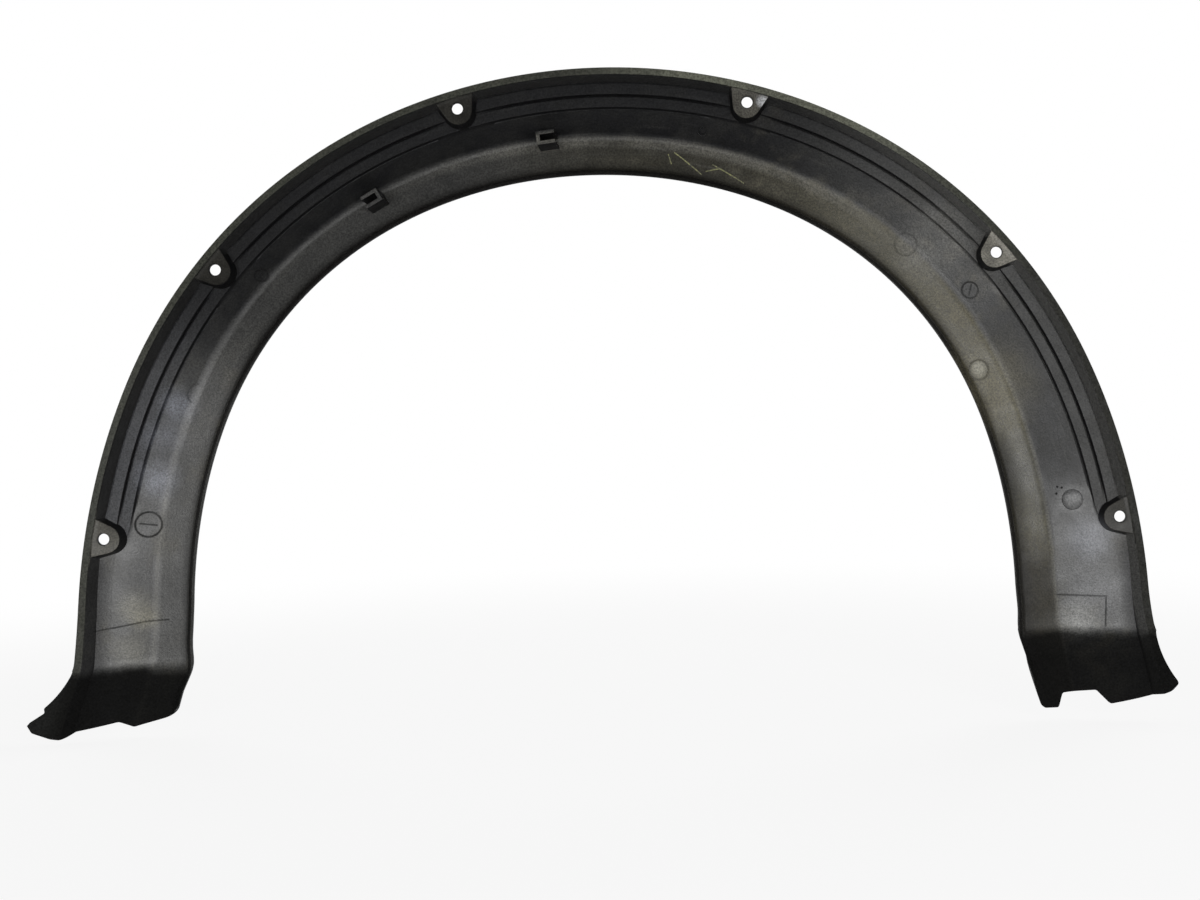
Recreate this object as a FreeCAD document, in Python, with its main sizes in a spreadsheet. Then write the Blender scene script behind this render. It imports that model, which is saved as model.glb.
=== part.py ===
import FreeCAD, Part
import math
import os
import Sketcher

# Wheel arch flare: one moulded plastic shell that follows a car's wheel opening.
# The arch lies in the XZ plane, its rim is drawn at Y = 0 and the outside of the car is at +Y.
# X runs along the car and Z is up; sizes are in millimetres and degrees.

os.makedirs("parts", exist_ok=True)
doc = FreeCAD.newDocument("wheel_arch_flare")

SIZES = [
    # outline of the rim that lies on the car body
    ("arch_radius", 475.2),
    ("arch_bulge", 4.7),
    ("rim_splay", 12.5),
    # crease (the line that stands out furthest) and inner lip: shifted against the rim
    ("crease_inset", 68.2),
    ("band_width", 37.4),
    ("inner_shift_x", -9.0),
    ("inner_shift_z", 14.0),
    ("inner_bulge", 7.4),
    ("inner_splay", 9.5),
    # wall section
    ("wall", 3.0),
    ("rim_width", 6.0),
    ("rim_leg_extra", 3.5),
    ("flange", 2.5),
    ("channel_run", 4.5),
    ("channel_depth", 11.0),
    ("terrace_width", 11.5),
    ("terrace_step", 1.3),
    ("leg_step", 0.1),
    ("crease_depth_crown", 38.0),
    ("crease_depth_leg", 26.0),
    ("crease_bevel", 3.0),
    ("band_rise", 3.0),
    ("lip_bevel", 6.0),
    ("lip_height", 11.0),
    # legs and raked feet
    ("left_fold_drop", 58.0),
    ("right_fold_drop", 43.0),
    ("foot_drop", 66.0),
    ("foot_reach", 59.0),
    ("toe_spread", 40.0),
    # bolt pockets
    ("bolt_pitch", 33.0),
    ("bolt_inset", 16.5),
    ("hole_diameter", 10.0),
    ("boss_setback", 1.0),
    ("boss_base_depth", 13.0),
    ("boss_width", 34.6),
    ("boss_tip_radius", 12.5),
    ("boss_draft", 2.3),
    ("boss_edge_gap", 0.4),
    ("boss_tip_inset", 18.5),
    ("boss_slope", 3.6),
    ("pocket_floor", 2.4),
    ("pocket_wall", 2.6),
    ("pocket_width", 34.0),
    ("pocket_overrun", 4.0),
    ("pocket_mouth_depth", 18.0),
    # clip towers on the inner band
    ("clip_top_depth", 7.0),
    ("clip_length", 17.0),
    ("clip_width", 12.5),
    ("clip_wall", 3.4),
    ("clip_one_angle", -7.2),
    ("clip_one_inset", 4.0),
    ("clip_two_angle", -30.2),
    ("clip_two_inset", 9.0),
    # round bump on the web of the right leg
    ("bump_angle", 79.8),
    ("bump_distance", 23.6),
    ("bump_radius", 9.5),
    ("bump_height", 2.6),
    ("bump_side", 0.6),
    ("bump_root", 1.6),
    # left foot: outwards from the rim or from the lip, and down from the fold
    ("left_sweep_radius", 50.0),
    ("left_ankle_out", 14.3),
    ("left_ankle_drop", 33.0),
    ("left_toe_out", 25.3),
    ("left_toe_drop", 44.5),
    ("left_sole_out", -7.7),
    ("left_sole_drop", 55.4),
    ("left_heel_out", -20.7),
    ("left_heel_drop", 48.5),
    ("left_notch_out", 50.9),
    ("left_notch_drop", 42.6),
    ("left_step_out", 38.5),
    ("left_step_drop", 47.7),
    ("left_corner_out", 11.9),
    ("left_corner_drop", 41.0),
    ("left_corner_radius", 18.0),
    ("left_side_drop", 20.0),
    # right foot
    ("right_sweep_radius", 80.0),
    ("right_toe_out", 9.3),
    ("right_toe_drop", 43.5),
    ("right_sole_out", -3.7),
    ("right_sole_drop", 51.5),
    ("right_step_out", 65.9),
    ("right_step_drop", 58.3),
    ("right_notch_out", 56.9),
    ("right_notch_drop", 48.0),
    ("right_gap_out", 27.9),
    ("right_gap_drop", 50.5),
    ("right_tab_out", 21.9),
    ("right_tab_drop", 61.5),
    ("right_tab_end_out", 10.4),
    ("right_corner_out", 6.4),
    ("right_corner_drop", 56.5),
    ("right_corner_radius", 5.0),
    ("right_side_drop", 19.0),
    ("flush", -1.0),
    ("trim_margin", 40.0),
]

sheet = doc.addObject("Spreadsheet::Sheet", "sizes")
for row, (alias, number) in enumerate(SIZES, start=1):
    sheet.set("A" + str(row), alias)
    sheet.set("B" + str(row), str(number))
    sheet.setAlias("B" + str(row), alias)
doc.recompute()


def size(alias):
    return float(sheet.get(alias))


def mix(**factors):
    """A sum of named sizes, as a number and as the text of its expression."""
    number = sum(factor * size(alias) for alias, factor in factors.items())
    text = " + ".join("({:.6f}) * sizes.{}".format(factor, alias) for alias, factor in factors.items())
    return number, text


body = doc.addObject("PartDesign::Body", "wheel_arch_flare")
body.Label = "wheel_arch_flare"


def origin_plane(role):
    return [feature for feature in body.Origin.OriginFeatures if feature.Role == role][0]


def new_sketch(name, role, offset):
    sketch = body.newObject("Sketcher::SketchObject", name)
    sketch.Label = name
    sketch.AttachmentSupport = [(origin_plane(role), "")]
    sketch.MapMode = "FlatFace"
    sketch.AttachmentOffset = offset
    return sketch


def line(start, end):
    return Part.LineSegment(FreeCAD.Vector(start[0], start[1], 0), FreeCAD.Vector(end[0], end[1], 0))


def arc(centre, radius, start, end):
    """Counter-clockwise arc from the point start to the point end."""
    first = math.atan2(start[1] - centre[1], start[0] - centre[0])
    last = math.atan2(end[1] - centre[1], end[0] - centre[0])
    if last < first:
        last = last + 2 * math.pi
    circle = Part.Circle(FreeCAD.Vector(centre[0], centre[1], 0), FreeCAD.Vector(0, 0, 1), radius)
    return Part.ArcOfCircle(circle, first, last)


def dimension(sketch, name, kind, where, value):
    """A driving dimension bound to the sizes; value is a number with its expression."""
    index = sketch.addConstraint(Sketcher.Constraint(kind, *where, value[0]))
    sketch.renameConstraint(index, name)
    sketch.setExpression("Constraints." + name, value[1])


volumes = [0.0]
least_change = 1.0


def finish(feature, change):
    """Recompute a feature and make sure that it adds to, cuts or changes the solid."""
    feature.Refine = False
    doc.recompute()
    solid = feature.Shape
    if solid.isNull() or not solid.isValid() or "Invalid" in feature.State or "Error" in feature.State:
        raise RuntimeError(feature.Name + " did not build")
    growth = solid.Volume - volumes[-1]
    gain = {"adds": growth, "cuts": -growth, "changes": abs(growth)}[change]
    if gain < least_change:
        raise RuntimeError(feature.Name + " leaves the solid as it was")
    volumes.append(solid.Volume)


# Wall section. Sketch x is the depth behind the car body and sketch y the distance from the arch centre.

def unit(start, end):
    length = math.hypot(end[0] - start[0], end[1] - start[1])
    return ((end[0] - start[0]) / length, (end[1] - start[1]) / length)


def beside(point, way, distance):
    """Point at a distance to the left of a direction."""
    return (point[0] - way[1] * distance, point[1] + way[0] * distance)


def meet(first, first_way, last, last_way):
    """Point where two lines meet, each given by a point and a direction."""
    across = first_way[0] * last_way[1] - first_way[1] * last_way[0]
    gap = (last[0] - first[0], last[1] - first[1])
    along = (gap[0] * last_way[1] - gap[1] * last_way[0]) / across
    return (first[0] + along * first_way[0], first[1] + along * first_way[1])


def wall_section(name, turn, drop, rim, crease, lip, depth, rim_width, step, shift):
    """Closed wall section on the plane turned about Y.

    Every argument but the name and the turn is a number with its expression."""
    spin = FreeCAD.Rotation(FreeCAD.Vector(1, 0, 0), turn)
    place = FreeCAD.Placement(FreeCAD.Vector(0, -drop[0], 0), spin)
    sketch = new_sketch(name, "YZ_Plane", place)
    if drop[0] > 0:
        sketch.setExpression("AttachmentOffset.Base.y", "-(" + drop[1] + ")")
    wall = mix(wall=1)
    run = mix(channel_run=1)
    channel = mix(channel_depth=1)
    terrace = mix(terrace_width=1)
    flange = mix(flange=1)
    edge = mix(crease_bevel=1)
    bevel = mix(lip_bevel=1)
    lip_height = mix(lip_height=1)
    band = (depth[0] - size("band_rise"), depth[1] + " - sizes.band_rise")
    zero = shift[0]
    thick = wall[0]
    rim_edge = (zero, rim[0])
    rim_foot = (zero, rim[0] - rim_width[0])
    terrace_one = (zero + channel[0], rim_foot[1] - run[0])
    step_one = (terrace_one[0], terrace_one[1] - terrace[0])
    terrace_two = (step_one[0] + step[0], step_one[1])
    step_two = (terrace_two[0], terrace_two[1] - terrace[0])
    web_top = (step_two[0] + step[0], step_two[1])
    crease_point = (zero + depth[0], crease[0])
    lip_point = (zero + band[0], lip[0] + thick)
    channel_way = unit(rim_foot, terrace_one)
    web_way = unit(web_top, crease_point)
    band_way = unit(crease_point, lip_point)
    lip_way = (-1.0, 0.0)
    web_end = (crease_point[0] - edge[0] * web_way[0], crease_point[1] - edge[0] * web_way[1])
    band_top = (crease_point[0] + edge[0] * band_way[0], crease_point[1] + edge[0] * band_way[1])
    edge_way = unit(web_end, band_top)
    bevel_start = (lip_point[0] - bevel[0] * band_way[0], lip_point[1] - bevel[0] * band_way[1])
    bevel_end = (lip_point[0] - bevel[0], lip_point[1])
    bevel_way = unit(bevel_start, bevel_end)
    lip_end = (lip_point[0] - lip_height[0], lip_point[1])
    lip_end_out = (lip_end[0], lip[0])
    web_out = beside(crease_point, web_way, thick)
    band_out = beside(crease_point, band_way, thick)
    bevel_out = beside(bevel_start, bevel_way, thick)
    edge_out = beside(web_end, edge_way, thick)
    web_end_out = meet(web_out, web_way, edge_out, edge_way)
    band_top_out = meet(edge_out, edge_way, band_out, band_way)
    bevel_start_out = meet(band_out, band_way, bevel_out, bevel_way)
    bevel_end_out = meet(bevel_out, bevel_way, lip_end_out, lip_way)
    channel_out = beside(rim_foot, channel_way, thick)
    level_way = (0.0, 1.0)
    flange_edge = (zero + flange[0], rim[0])
    flange_foot = meet(flange_edge, level_way, channel_out, channel_way)
    terrace_out = meet((terrace_one[0] + thick, 0.0), level_way, channel_out, channel_way)
    step_out = (terrace_out[0], step_one[1])
    terrace_two_out = (terrace_two[0] + thick, step_one[1])
    step_two_out = (terrace_two_out[0], step_two[1])
    web_top_out = meet(step_two_out, (1.0, 0.0), web_out, web_way)
    corners = [
        rim_edge, rim_foot, terrace_one, step_one, terrace_two, step_two, web_top, web_end, band_top,
        bevel_start, bevel_end, lip_end, lip_end_out, bevel_end_out, bevel_start_out, band_top_out,
        web_end_out, web_top_out, step_two_out, terrace_two_out, step_out, terrace_out, flange_foot,
        flange_edge,
    ]
    sides = len(corners)
    for first, last in zip(corners, corners[1:] + corners[:1]):
        sketch.addGeometry(line(first, last), False)
    crease_corner = sketch.addGeometry(Part.Point(FreeCAD.Vector(*crease_point, 0)), True)
    lip_corner = sketch.addGeometry(Part.Point(FreeCAD.Vector(*lip_point, 0)), True)
    rules = []
    for side in range(sides):
        rules.append(Sketcher.Constraint("Coincident", side, 2, (side + 1) % sides, 1))
    for upright in (0, 2, 4, 11, 18, 20, 22):
        rules.append(Sketcher.Constraint("Vertical", upright))
    for level in (3, 5, 10, 12, 17, 19, 23):
        rules.append(Sketcher.Constraint("Horizontal", level))
    for outside, inside in ((13, 9), (14, 8), (15, 7), (16, 6), (21, 1)):
        rules.append(Sketcher.Constraint("Parallel", outside, inside))
    rules.append(Sketcher.Constraint("Horizontal", 3, 1, 19, 1))
    rules.append(Sketcher.Constraint("Horizontal", 5, 1, 17, 1))
    for corner, inside in ((crease_corner, 6), (crease_corner, 8), (lip_corner, 8), (lip_corner, 10)):
        rules.append(Sketcher.Constraint("PointOnObject", corner, 1, inside))
    if shift[1] is None:
        rules.append(Sketcher.Constraint("PointOnObject", 0, 1, -2))
    sketch.addConstraint(rules)
    if shift[1] is not None:
        dimension(sketch, "rim_reach", "DistanceX", (0, 1, -1, 1), (-shift[0], "-(" + shift[1] + ")"))
    dimension(sketch, "rim_position", "DistanceY", (-1, 1, 0, 1), rim)
    dimension(sketch, "rim_width", "DistanceY", (0, 2, 0, 1), rim_width)
    dimension(sketch, "channel_run", "DistanceY", (1, 2, 1, 1), run)
    dimension(sketch, "channel_depth", "DistanceX", (1, 1, 1, 2), channel)
    dimension(sketch, "terrace_one", "DistanceY", (2, 2, 2, 1), terrace)
    dimension(sketch, "step_one", "DistanceX", (3, 1, 3, 2), step)
    dimension(sketch, "terrace_two", "DistanceY", (4, 2, 4, 1), terrace)
    dimension(sketch, "step_two", "DistanceX", (5, 1, 5, 2), step)
    dimension(sketch, "crease_depth", "DistanceX", (0, 1, crease_corner, 1), depth)
    dimension(sketch, "crease_position", "DistanceY", (-1, 1, crease_corner, 1), crease)
    dimension(sketch, "web_end", "Distance", (6, 2, crease_corner, 1), edge)
    dimension(sketch, "band_top", "Distance", (8, 1, crease_corner, 1), edge)
    dimension(sketch, "band_depth", "DistanceX", (0, 1, lip_corner, 1), band)
    dimension(sketch, "lip_position", "DistanceY", (-1, 1, 11, 2), lip)
    dimension(sketch, "lip_wall", "DistanceY", (11, 2, 11, 1), wall)
    dimension(sketch, "lip_height", "DistanceX", (10, 2, lip_corner, 1), lip_height)
    dimension(sketch, "bevel_start", "Distance", (8, 2, lip_corner, 1), bevel)
    dimension(sketch, "bevel_end", "Distance", (10, 1, lip_corner, 1), bevel)
    dimension(sketch, "bevel_wall", "Distance", (13, 1, 9), wall)
    dimension(sketch, "band_wall", "Distance", (14, 1, 8), wall)
    dimension(sketch, "crease_wall", "Distance", (15, 1, 7), wall)
    dimension(sketch, "web_wall", "Distance", (16, 1, 6), wall)
    dimension(sketch, "channel_wall", "Distance", (21, 1, 1), wall)
    dimension(sketch, "terrace_wall", "DistanceX", (1, 2, 20, 2), wall)
    dimension(sketch, "terrace_wall_two", "DistanceX", (4, 1, 18, 2), wall)
    dimension(sketch, "flange", "DistanceX", (0, 1, 22, 2), flange)
    doc.recompute()
    if not sketch.FullyConstrained:
        raise RuntimeError(name + " is not fully constrained")
    return sketch


def station(name, turn, drop, leg, step_share):
    """Section of the arch at an angle from the crown; leg grows from 0 to 1 towards the fold."""
    angle = math.radians(turn)
    bulge = math.sin(2 * angle) ** 2
    east = math.sin(angle)
    up = math.cos(angle)
    rim = mix(arch_radius=1, arch_bulge=bulge, rim_splay=leg)
    inner = {"inner_shift_x": east, "inner_shift_z": up, "inner_bulge": bulge, "inner_splay": leg}
    crease = mix(arch_radius=1, crease_inset=-1, **inner)
    lip = mix(arch_radius=1, crease_inset=-1, band_width=-1, **inner)
    depth = mix(crease_depth_crown=up * up, crease_depth_leg=1 - up * up)
    rim_width = mix(rim_width=1, rim_leg_extra=leg)
    step = mix(terrace_step=step_share, leg_step=1 - step_share)
    return wall_section(name, turn, drop, rim, crease, lip, depth, rim_width, step, (0.0, None))


def leg_share(turn):
    return 0.55 * (max(0.0, abs(turn) - 66.0) / 24.0) ** 2


nothing = (0.0, "0")
sections = [station("section_left_fold", -90.0, mix(left_fold_drop=1), 1.0, 0.0)]
right_turns = (17.0, 34.0, 51.0, 68.0, 80.0, 85.0, 90.0)
left_turns = tuple(-turn for turn in reversed(right_turns))
for turn in left_turns + (0.0,) + right_turns:
    tag = ("left_" if turn < 0 else "right_") + str(int(abs(turn)))
    share = 1.0 if abs(turn) <= 80.0 else 0.0
    sections.append(station("section_" + tag, turn, nothing, leg_share(turn), share))
sections.append(station("section_right_fold", 90.0, mix(right_fold_drop=1), 1.0, 0.0))

shell = body.newObject("PartDesign::AdditiveLoft", "arch_shell")
shell.Label = "arch_shell"
shell.Profile = sections[0]
shell.Sections = [(section, [""]) for section in sections[1:]]
shell.Ruled = False
finish(shell, "adds")


# Clip towers: U-shaped posts that stand on the inner band beside the crease.

def at_depth(depth):
    """Place of a sketch that faces along Y, at a depth from the car body."""
    return FreeCAD.Placement(FreeCAD.Vector(0, 0, -depth[0]), FreeCAD.Rotation())


def clip(name, angle_alias, inset_alias, opening):
    turn = size(angle_alias)
    angle = math.radians(turn)
    bulge = math.sin(2 * angle) ** 2
    distance = mix(arch_radius=1, crease_inset=-1, inner_shift_x=math.sin(angle),
                   inner_shift_z=math.cos(angle), inner_bulge=bulge, **{inset_alias: -1})
    height = mix(crease_depth_crown=math.cos(angle) ** 2, crease_depth_leg=math.sin(angle) ** 2,
                 clip_top_depth=-1)
    sketch = new_sketch(name + "_outline", "XZ_Plane", at_depth(mix(clip_top_depth=1)))
    sketch.setExpression("AttachmentOffset.Base.z", "-sizes.clip_top_depth")
    out = (math.sin(angle), math.cos(angle))
    along = (out[1] * opening, -out[0] * opening)
    long = size("clip_length") / 2
    wide = size("clip_width") / 2
    wall = size("clip_wall")

    def spot(across, radial):
        reach = distance[0] + radial
        return (out[0] * reach + along[0] * across, out[1] * reach + along[1] * across)

    corners = [
        spot(-long, -wide), spot(long, -wide), spot(long, wall - wide), spot(wall - long, wall - wide),
        spot(wall - long, wide - wall), spot(long, wide - wall), spot(long, wide), spot(-long, wide),
    ]
    for first, last in zip(corners, corners[1:] + corners[:1]):
        sketch.addGeometry(line(first, last), False)
    ray = sketch.addGeometry(line((0, 0), spot(0, 0)), True)
    rules = [Sketcher.Constraint("Coincident", ray, 1, -1, 1)]
    for index in range(8):
        rules.append(Sketcher.Constraint("Coincident", index, 2, (index + 1) % 8, 1))
    for index in (0, 2, 4, 6):
        rules.append(Sketcher.Constraint("Perpendicular", index, ray))
    for index in (1, 3, 5, 7):
        rules.append(Sketcher.Constraint("Parallel", index, ray))
    rules.append(Sketcher.Constraint("Symmetric", 0, 1, 6, 1, ray, 2))
    sketch.addConstraint(rules)
    dimension(sketch, "turn", "Angle", (ray,), (math.radians(90 - turn), "90 - sizes." + angle_alias))
    dimension(sketch, "distance", "Distance", (ray,), distance)
    dimension(sketch, "length", "Distance", (0,), mix(clip_length=1))
    dimension(sketch, "width", "Distance", (7,), mix(clip_width=1))
    dimension(sketch, "arm_one", "Distance", (1,), mix(clip_wall=1))
    dimension(sketch, "arm_two", "Distance", (5,), mix(clip_wall=1))
    dimension(sketch, "slot_one", "Distance", (2,), mix(clip_length=1, clip_wall=-1))
    dimension(sketch, "slot_two", "Distance", (4,), mix(clip_length=1, clip_wall=-1))
    doc.recompute()
    if not sketch.FullyConstrained:
        raise RuntimeError(name + " is not fully constrained")
    tower = body.newObject("PartDesign::Pad", name)
    tower.Label = name
    tower.Profile = sketch
    tower.Reversed = True
    tower.setExpression("Length", height[1])
    finish(tower, "adds")


clip("clip_one", "clip_one_angle", "clip_one_inset", 1)
clip("clip_two", "clip_two_angle", "clip_two_inset", -1)


# Raked feet: below each fold the whole section leans towards the car and its rim spreads into a toe.

def foot(name, fold, turn, drop_alias):
    side = math.copysign(1.0, turn)
    rim = mix(arch_radius=1, rim_splay=1, toe_spread=1)
    crease = mix(arch_radius=1, crease_inset=-1, inner_shift_x=side, inner_splay=1)
    lip = mix(arch_radius=1, crease_inset=-1, band_width=-1, inner_shift_x=side, inner_splay=1)
    depth = mix(crease_depth_leg=1)
    rim_width = mix(rim_width=1, rim_leg_extra=1, toe_spread=1)
    drop = mix(**{drop_alias: 1, "foot_drop": 1})
    reach = mix(foot_reach=-1)
    step = mix(leg_step=1)
    sole = wall_section("section_" + name, turn, drop, rim, crease, lip, depth, rim_width, step, reach)
    blank = body.newObject("PartDesign::AdditiveLoft", name)
    blank.Label = name
    blank.Profile = fold
    blank.Sections = [(sole, [""])]
    blank.Ruled = True
    finish(blank, "adds")
    return blank


foot("left_foot", sections[0], -90.0, "left_fold_drop")
foot("right_foot", sections[-1], 90.0, "right_fold_drop")


# The feet are trimmed to their outlines, seen along Y: a hollow sweep at the toe and notched soles.

def trim(name, side, fold_alias, corners, sweep, rounded):
    """Cut away all that lies outside a foot's outline.

    corners run from the toe end of the hollow sweep round to the inner side, each with its name, the edge
    that outwards is measured from, outwards and down. The corner named in rounded turns into the inner
    side with an arc."""
    edges = {
        "rim": {"arch_radius": 1, "rim_splay": 1},
        "lip": {"arch_radius": 1, "crease_inset": -1, "band_width": -1, "inner_shift_x": side, "inner_splay": 1},
    }
    front = size("foot_reach") + size("trim_margin")
    sketch = new_sketch(name, "XZ_Plane", at_depth((-front, "")))
    sketch.setExpression("AttachmentOffset.Base.z", "sizes.foot_reach + sizes.trim_margin")
    fold = {fold_alias: 1}
    lowest = max(size(down) for label, edge, outwards, down in corners)
    lowest_alias = [down for label, edge, outwards, down in corners if size(down) == lowest][0]
    marks = [("fold", mix(**edges["rim"]), mix(**fold))]
    for label, edge, outwards, down in corners:
        marks.append((label, mix(**edges[edge], **{outwards: 1}), mix(**fold, **{down: 1})))
    inner = mix(**edges["lip"], trim_margin=-1)
    outer = mix(**edges["rim"], trim_margin=2)
    floor = mix(**fold, **{lowest_alias: 1, "trim_margin": 1})
    marks.append(("inner_side", inner, marks[-1][2]))
    marks.append(("inner_floor", inner, floor))
    marks.append(("outer_floor", outer, floor))
    marks.append(("outer_side", outer, mix(**fold)))
    points = [(side * across[0], -down[0]) for label, across, down in marks]
    labels = [label for label, across, down in marks]
    bends = {"fold": (size(sweep), sweep, -1), rounded[0]: (size(rounded[1]), rounded[1], 1)}
    for index, label in enumerate(labels):
        start = points[index]
        end = points[(index + 1) % len(points)]
        if label in bends:
            radius, alias, bow = bends[label]
            way = unit(start, end)
            half = math.hypot(end[0] - start[0], end[1] - start[1]) / 2
            rise = math.sqrt(radius ** 2 - half ** 2)
            left = (-way[1] * side * bow, way[0] * side * bow)
            middle = ((start[0] + end[0]) / 2, (start[1] + end[1]) / 2)
            centre = (middle[0] - left[0] * rise, middle[1] - left[1] * rise)
            if side * bow > 0:
                sketch.addGeometry(arc(centre, radius, end, start), False)
            else:
                sketch.addGeometry(arc(centre, radius, start, end), False)
        else:
            sketch.addGeometry(line(start, end), False)

    def ends(index):
        bend = bends.get(labels[index])
        if bend and side * bend[2] > 0:
            return 2, 1
        return 1, 2

    for index, label in enumerate(labels):
        after = (index + 1) % len(labels)
        meeting = (index, ends(index)[1], after, ends(after)[0])
        sketch.addConstraint(Sketcher.Constraint("Coincident", *meeting))
    for index, (label, across, down) in enumerate(marks):
        first = ends(index)[0]
        if side < 0:
            dimension(sketch, label + "_out", "DistanceX", (index, first, -1, 1), across)
        else:
            dimension(sketch, label + "_out", "DistanceX", (-1, 1, index, first), across)
        dimension(sketch, label + "_down", "DistanceY", (index, first, -1, 1), down)
        if label in bends:
            alias = bends[label][1]
            dimension(sketch, label + "_radius", "Radius", (index,), mix(**{alias: 1}))
    doc.recompute()
    if not sketch.FullyConstrained:
        raise RuntimeError(name + " is not fully constrained")
    cut = body.newObject("PartDesign::Pocket", name + "_trim")
    cut.Label = name + "_trim"
    cut.Profile = sketch
    cut.Type = "ThroughAll"
    finish(cut, "cuts")


trim("left_foot_outline", -1, "left_fold_drop", [
    ("ankle", "rim", "left_ankle_out", "left_ankle_drop"),
    ("toe", "rim", "left_toe_out", "left_toe_drop"),
    ("sole", "rim", "left_sole_out", "left_sole_drop"),
    ("heel", "rim", "left_heel_out", "left_heel_drop"),
    ("notch", "lip", "left_notch_out", "left_notch_drop"),
    ("step", "lip", "left_step_out", "left_step_drop"),
    ("corner", "lip", "left_corner_out", "left_corner_drop"),
    ("side", "lip", "flush", "left_side_drop"),
], "left_sweep_radius", ("corner", "left_corner_radius"))
trim("right_foot_outline", 1, "right_fold_drop", [
    ("toe", "rim", "right_toe_out", "right_toe_drop"),
    ("sole", "rim", "right_sole_out", "right_sole_drop"),
    ("step", "lip", "right_step_out", "right_step_drop"),
    ("notch", "lip", "right_notch_out", "right_notch_drop"),
    ("gap", "lip", "right_gap_out", "right_gap_drop"),
    ("tab", "lip", "right_tab_out", "right_tab_drop"),
    ("tab_end", "lip", "right_tab_end_out", "right_tab_drop"),
    ("corner", "lip", "right_corner_out", "right_corner_drop"),
    ("side", "lip", "flush", "right_side_drop"),
], "right_sweep_radius", ("tab_end", "right_corner_radius"))


# Bolt pockets: D-shaped cups, recessed from the outside. Their floors lie on the car body, set back a
# little from the rim, which bites into its edge seal.

def rim_at(turn):
    angle = math.radians(turn)
    return {"arch_radius": 1, "arch_bulge": math.sin(2 * angle) ** 2, "rim_splay": leg_share(turn)}


def bolt_turn(share):
    """Angle of a bolt's radius against the X axis; share counts bolt pitches from the crown."""
    return math.radians(90 - share * size("bolt_pitch")), "90 - {} * sizes.bolt_pitch".format(share)


def cup_outline(name, turn, share, depth, side_distance, width, tip_distance, tip_radius):
    """D-shaped outline on a plane behind the car body, its straight side towards the rim."""
    sketch = new_sketch(name, "XZ_Plane", at_depth(depth))
    sketch.setExpression("AttachmentOffset.Base.z", "-(" + depth[1] + ")")
    angle = math.radians(turn)
    out = (math.sin(angle), math.cos(angle))
    along = (out[1], -out[0])
    half = width[0] / 2
    tip = (out[0] * tip_distance[0], out[1] * tip_distance[0])
    middle = (out[0] * side_distance[0], out[1] * side_distance[0])
    left = (middle[0] - along[0] * half, middle[1] - along[1] * half)
    right = (middle[0] + along[0] * half, middle[1] + along[1] * half)
    gap = side_distance[0] - tip_distance[0]
    lean = math.asin(tip_radius[0] / math.hypot(half, gap)) - math.atan2(half, gap)
    touch_out = tip_radius[0] * math.sin(lean)
    touch_along = tip_radius[0] * math.cos(lean)
    touch_left = (tip[0] - along[0] * touch_along - out[0] * touch_out,
                  tip[1] - along[1] * touch_along - out[1] * touch_out)
    touch_right = (tip[0] + along[0] * touch_along - out[0] * touch_out,
                   tip[1] + along[1] * touch_along - out[1] * touch_out)
    sketch.addGeometry([
        line(left, right),
        line(right, touch_right),
        arc(tip, tip_radius[0], touch_left, touch_right),
        line(touch_left, left),
    ], False)
    sketch.addGeometry(line((0, 0), middle), True)
    sketch.addConstraint([
        Sketcher.Constraint("Coincident", 4, 1, -1, 1),
        Sketcher.Constraint("Symmetric", 0, 1, 0, 2, 4, 2),
        Sketcher.Constraint("Perpendicular", 0, 4),
        Sketcher.Constraint("Coincident", 0, 2, 1, 1),
        Sketcher.Constraint("Tangent", 1, 2, 2, 2),
        Sketcher.Constraint("Tangent", 2, 1, 3, 1),
        Sketcher.Constraint("Coincident", 3, 2, 0, 1),
        Sketcher.Constraint("PointOnObject", 2, 3, 4),
    ])
    dimension(sketch, "turn", "Angle", (4,), bolt_turn(share))
    dimension(sketch, "side_distance", "Distance", (4,), side_distance)
    dimension(sketch, "width", "Distance", (0,), width)
    dimension(sketch, "tip_distance", "Distance", (-1, 1, 2, 3), tip_distance)
    dimension(sketch, "tip_radius", "Radius", (2,), tip_radius)
    doc.recompute()
    if not sketch.FullyConstrained:
        raise RuntimeError(name + " is not fully constrained")
    return sketch


def cup(kind, name, first, last, change):
    feature = body.newObject(kind, name)
    feature.Label = name
    feature.Profile = first
    feature.Sections = [(last, [""])]
    feature.Ruled = True
    finish(feature, change)
    return feature


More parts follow.
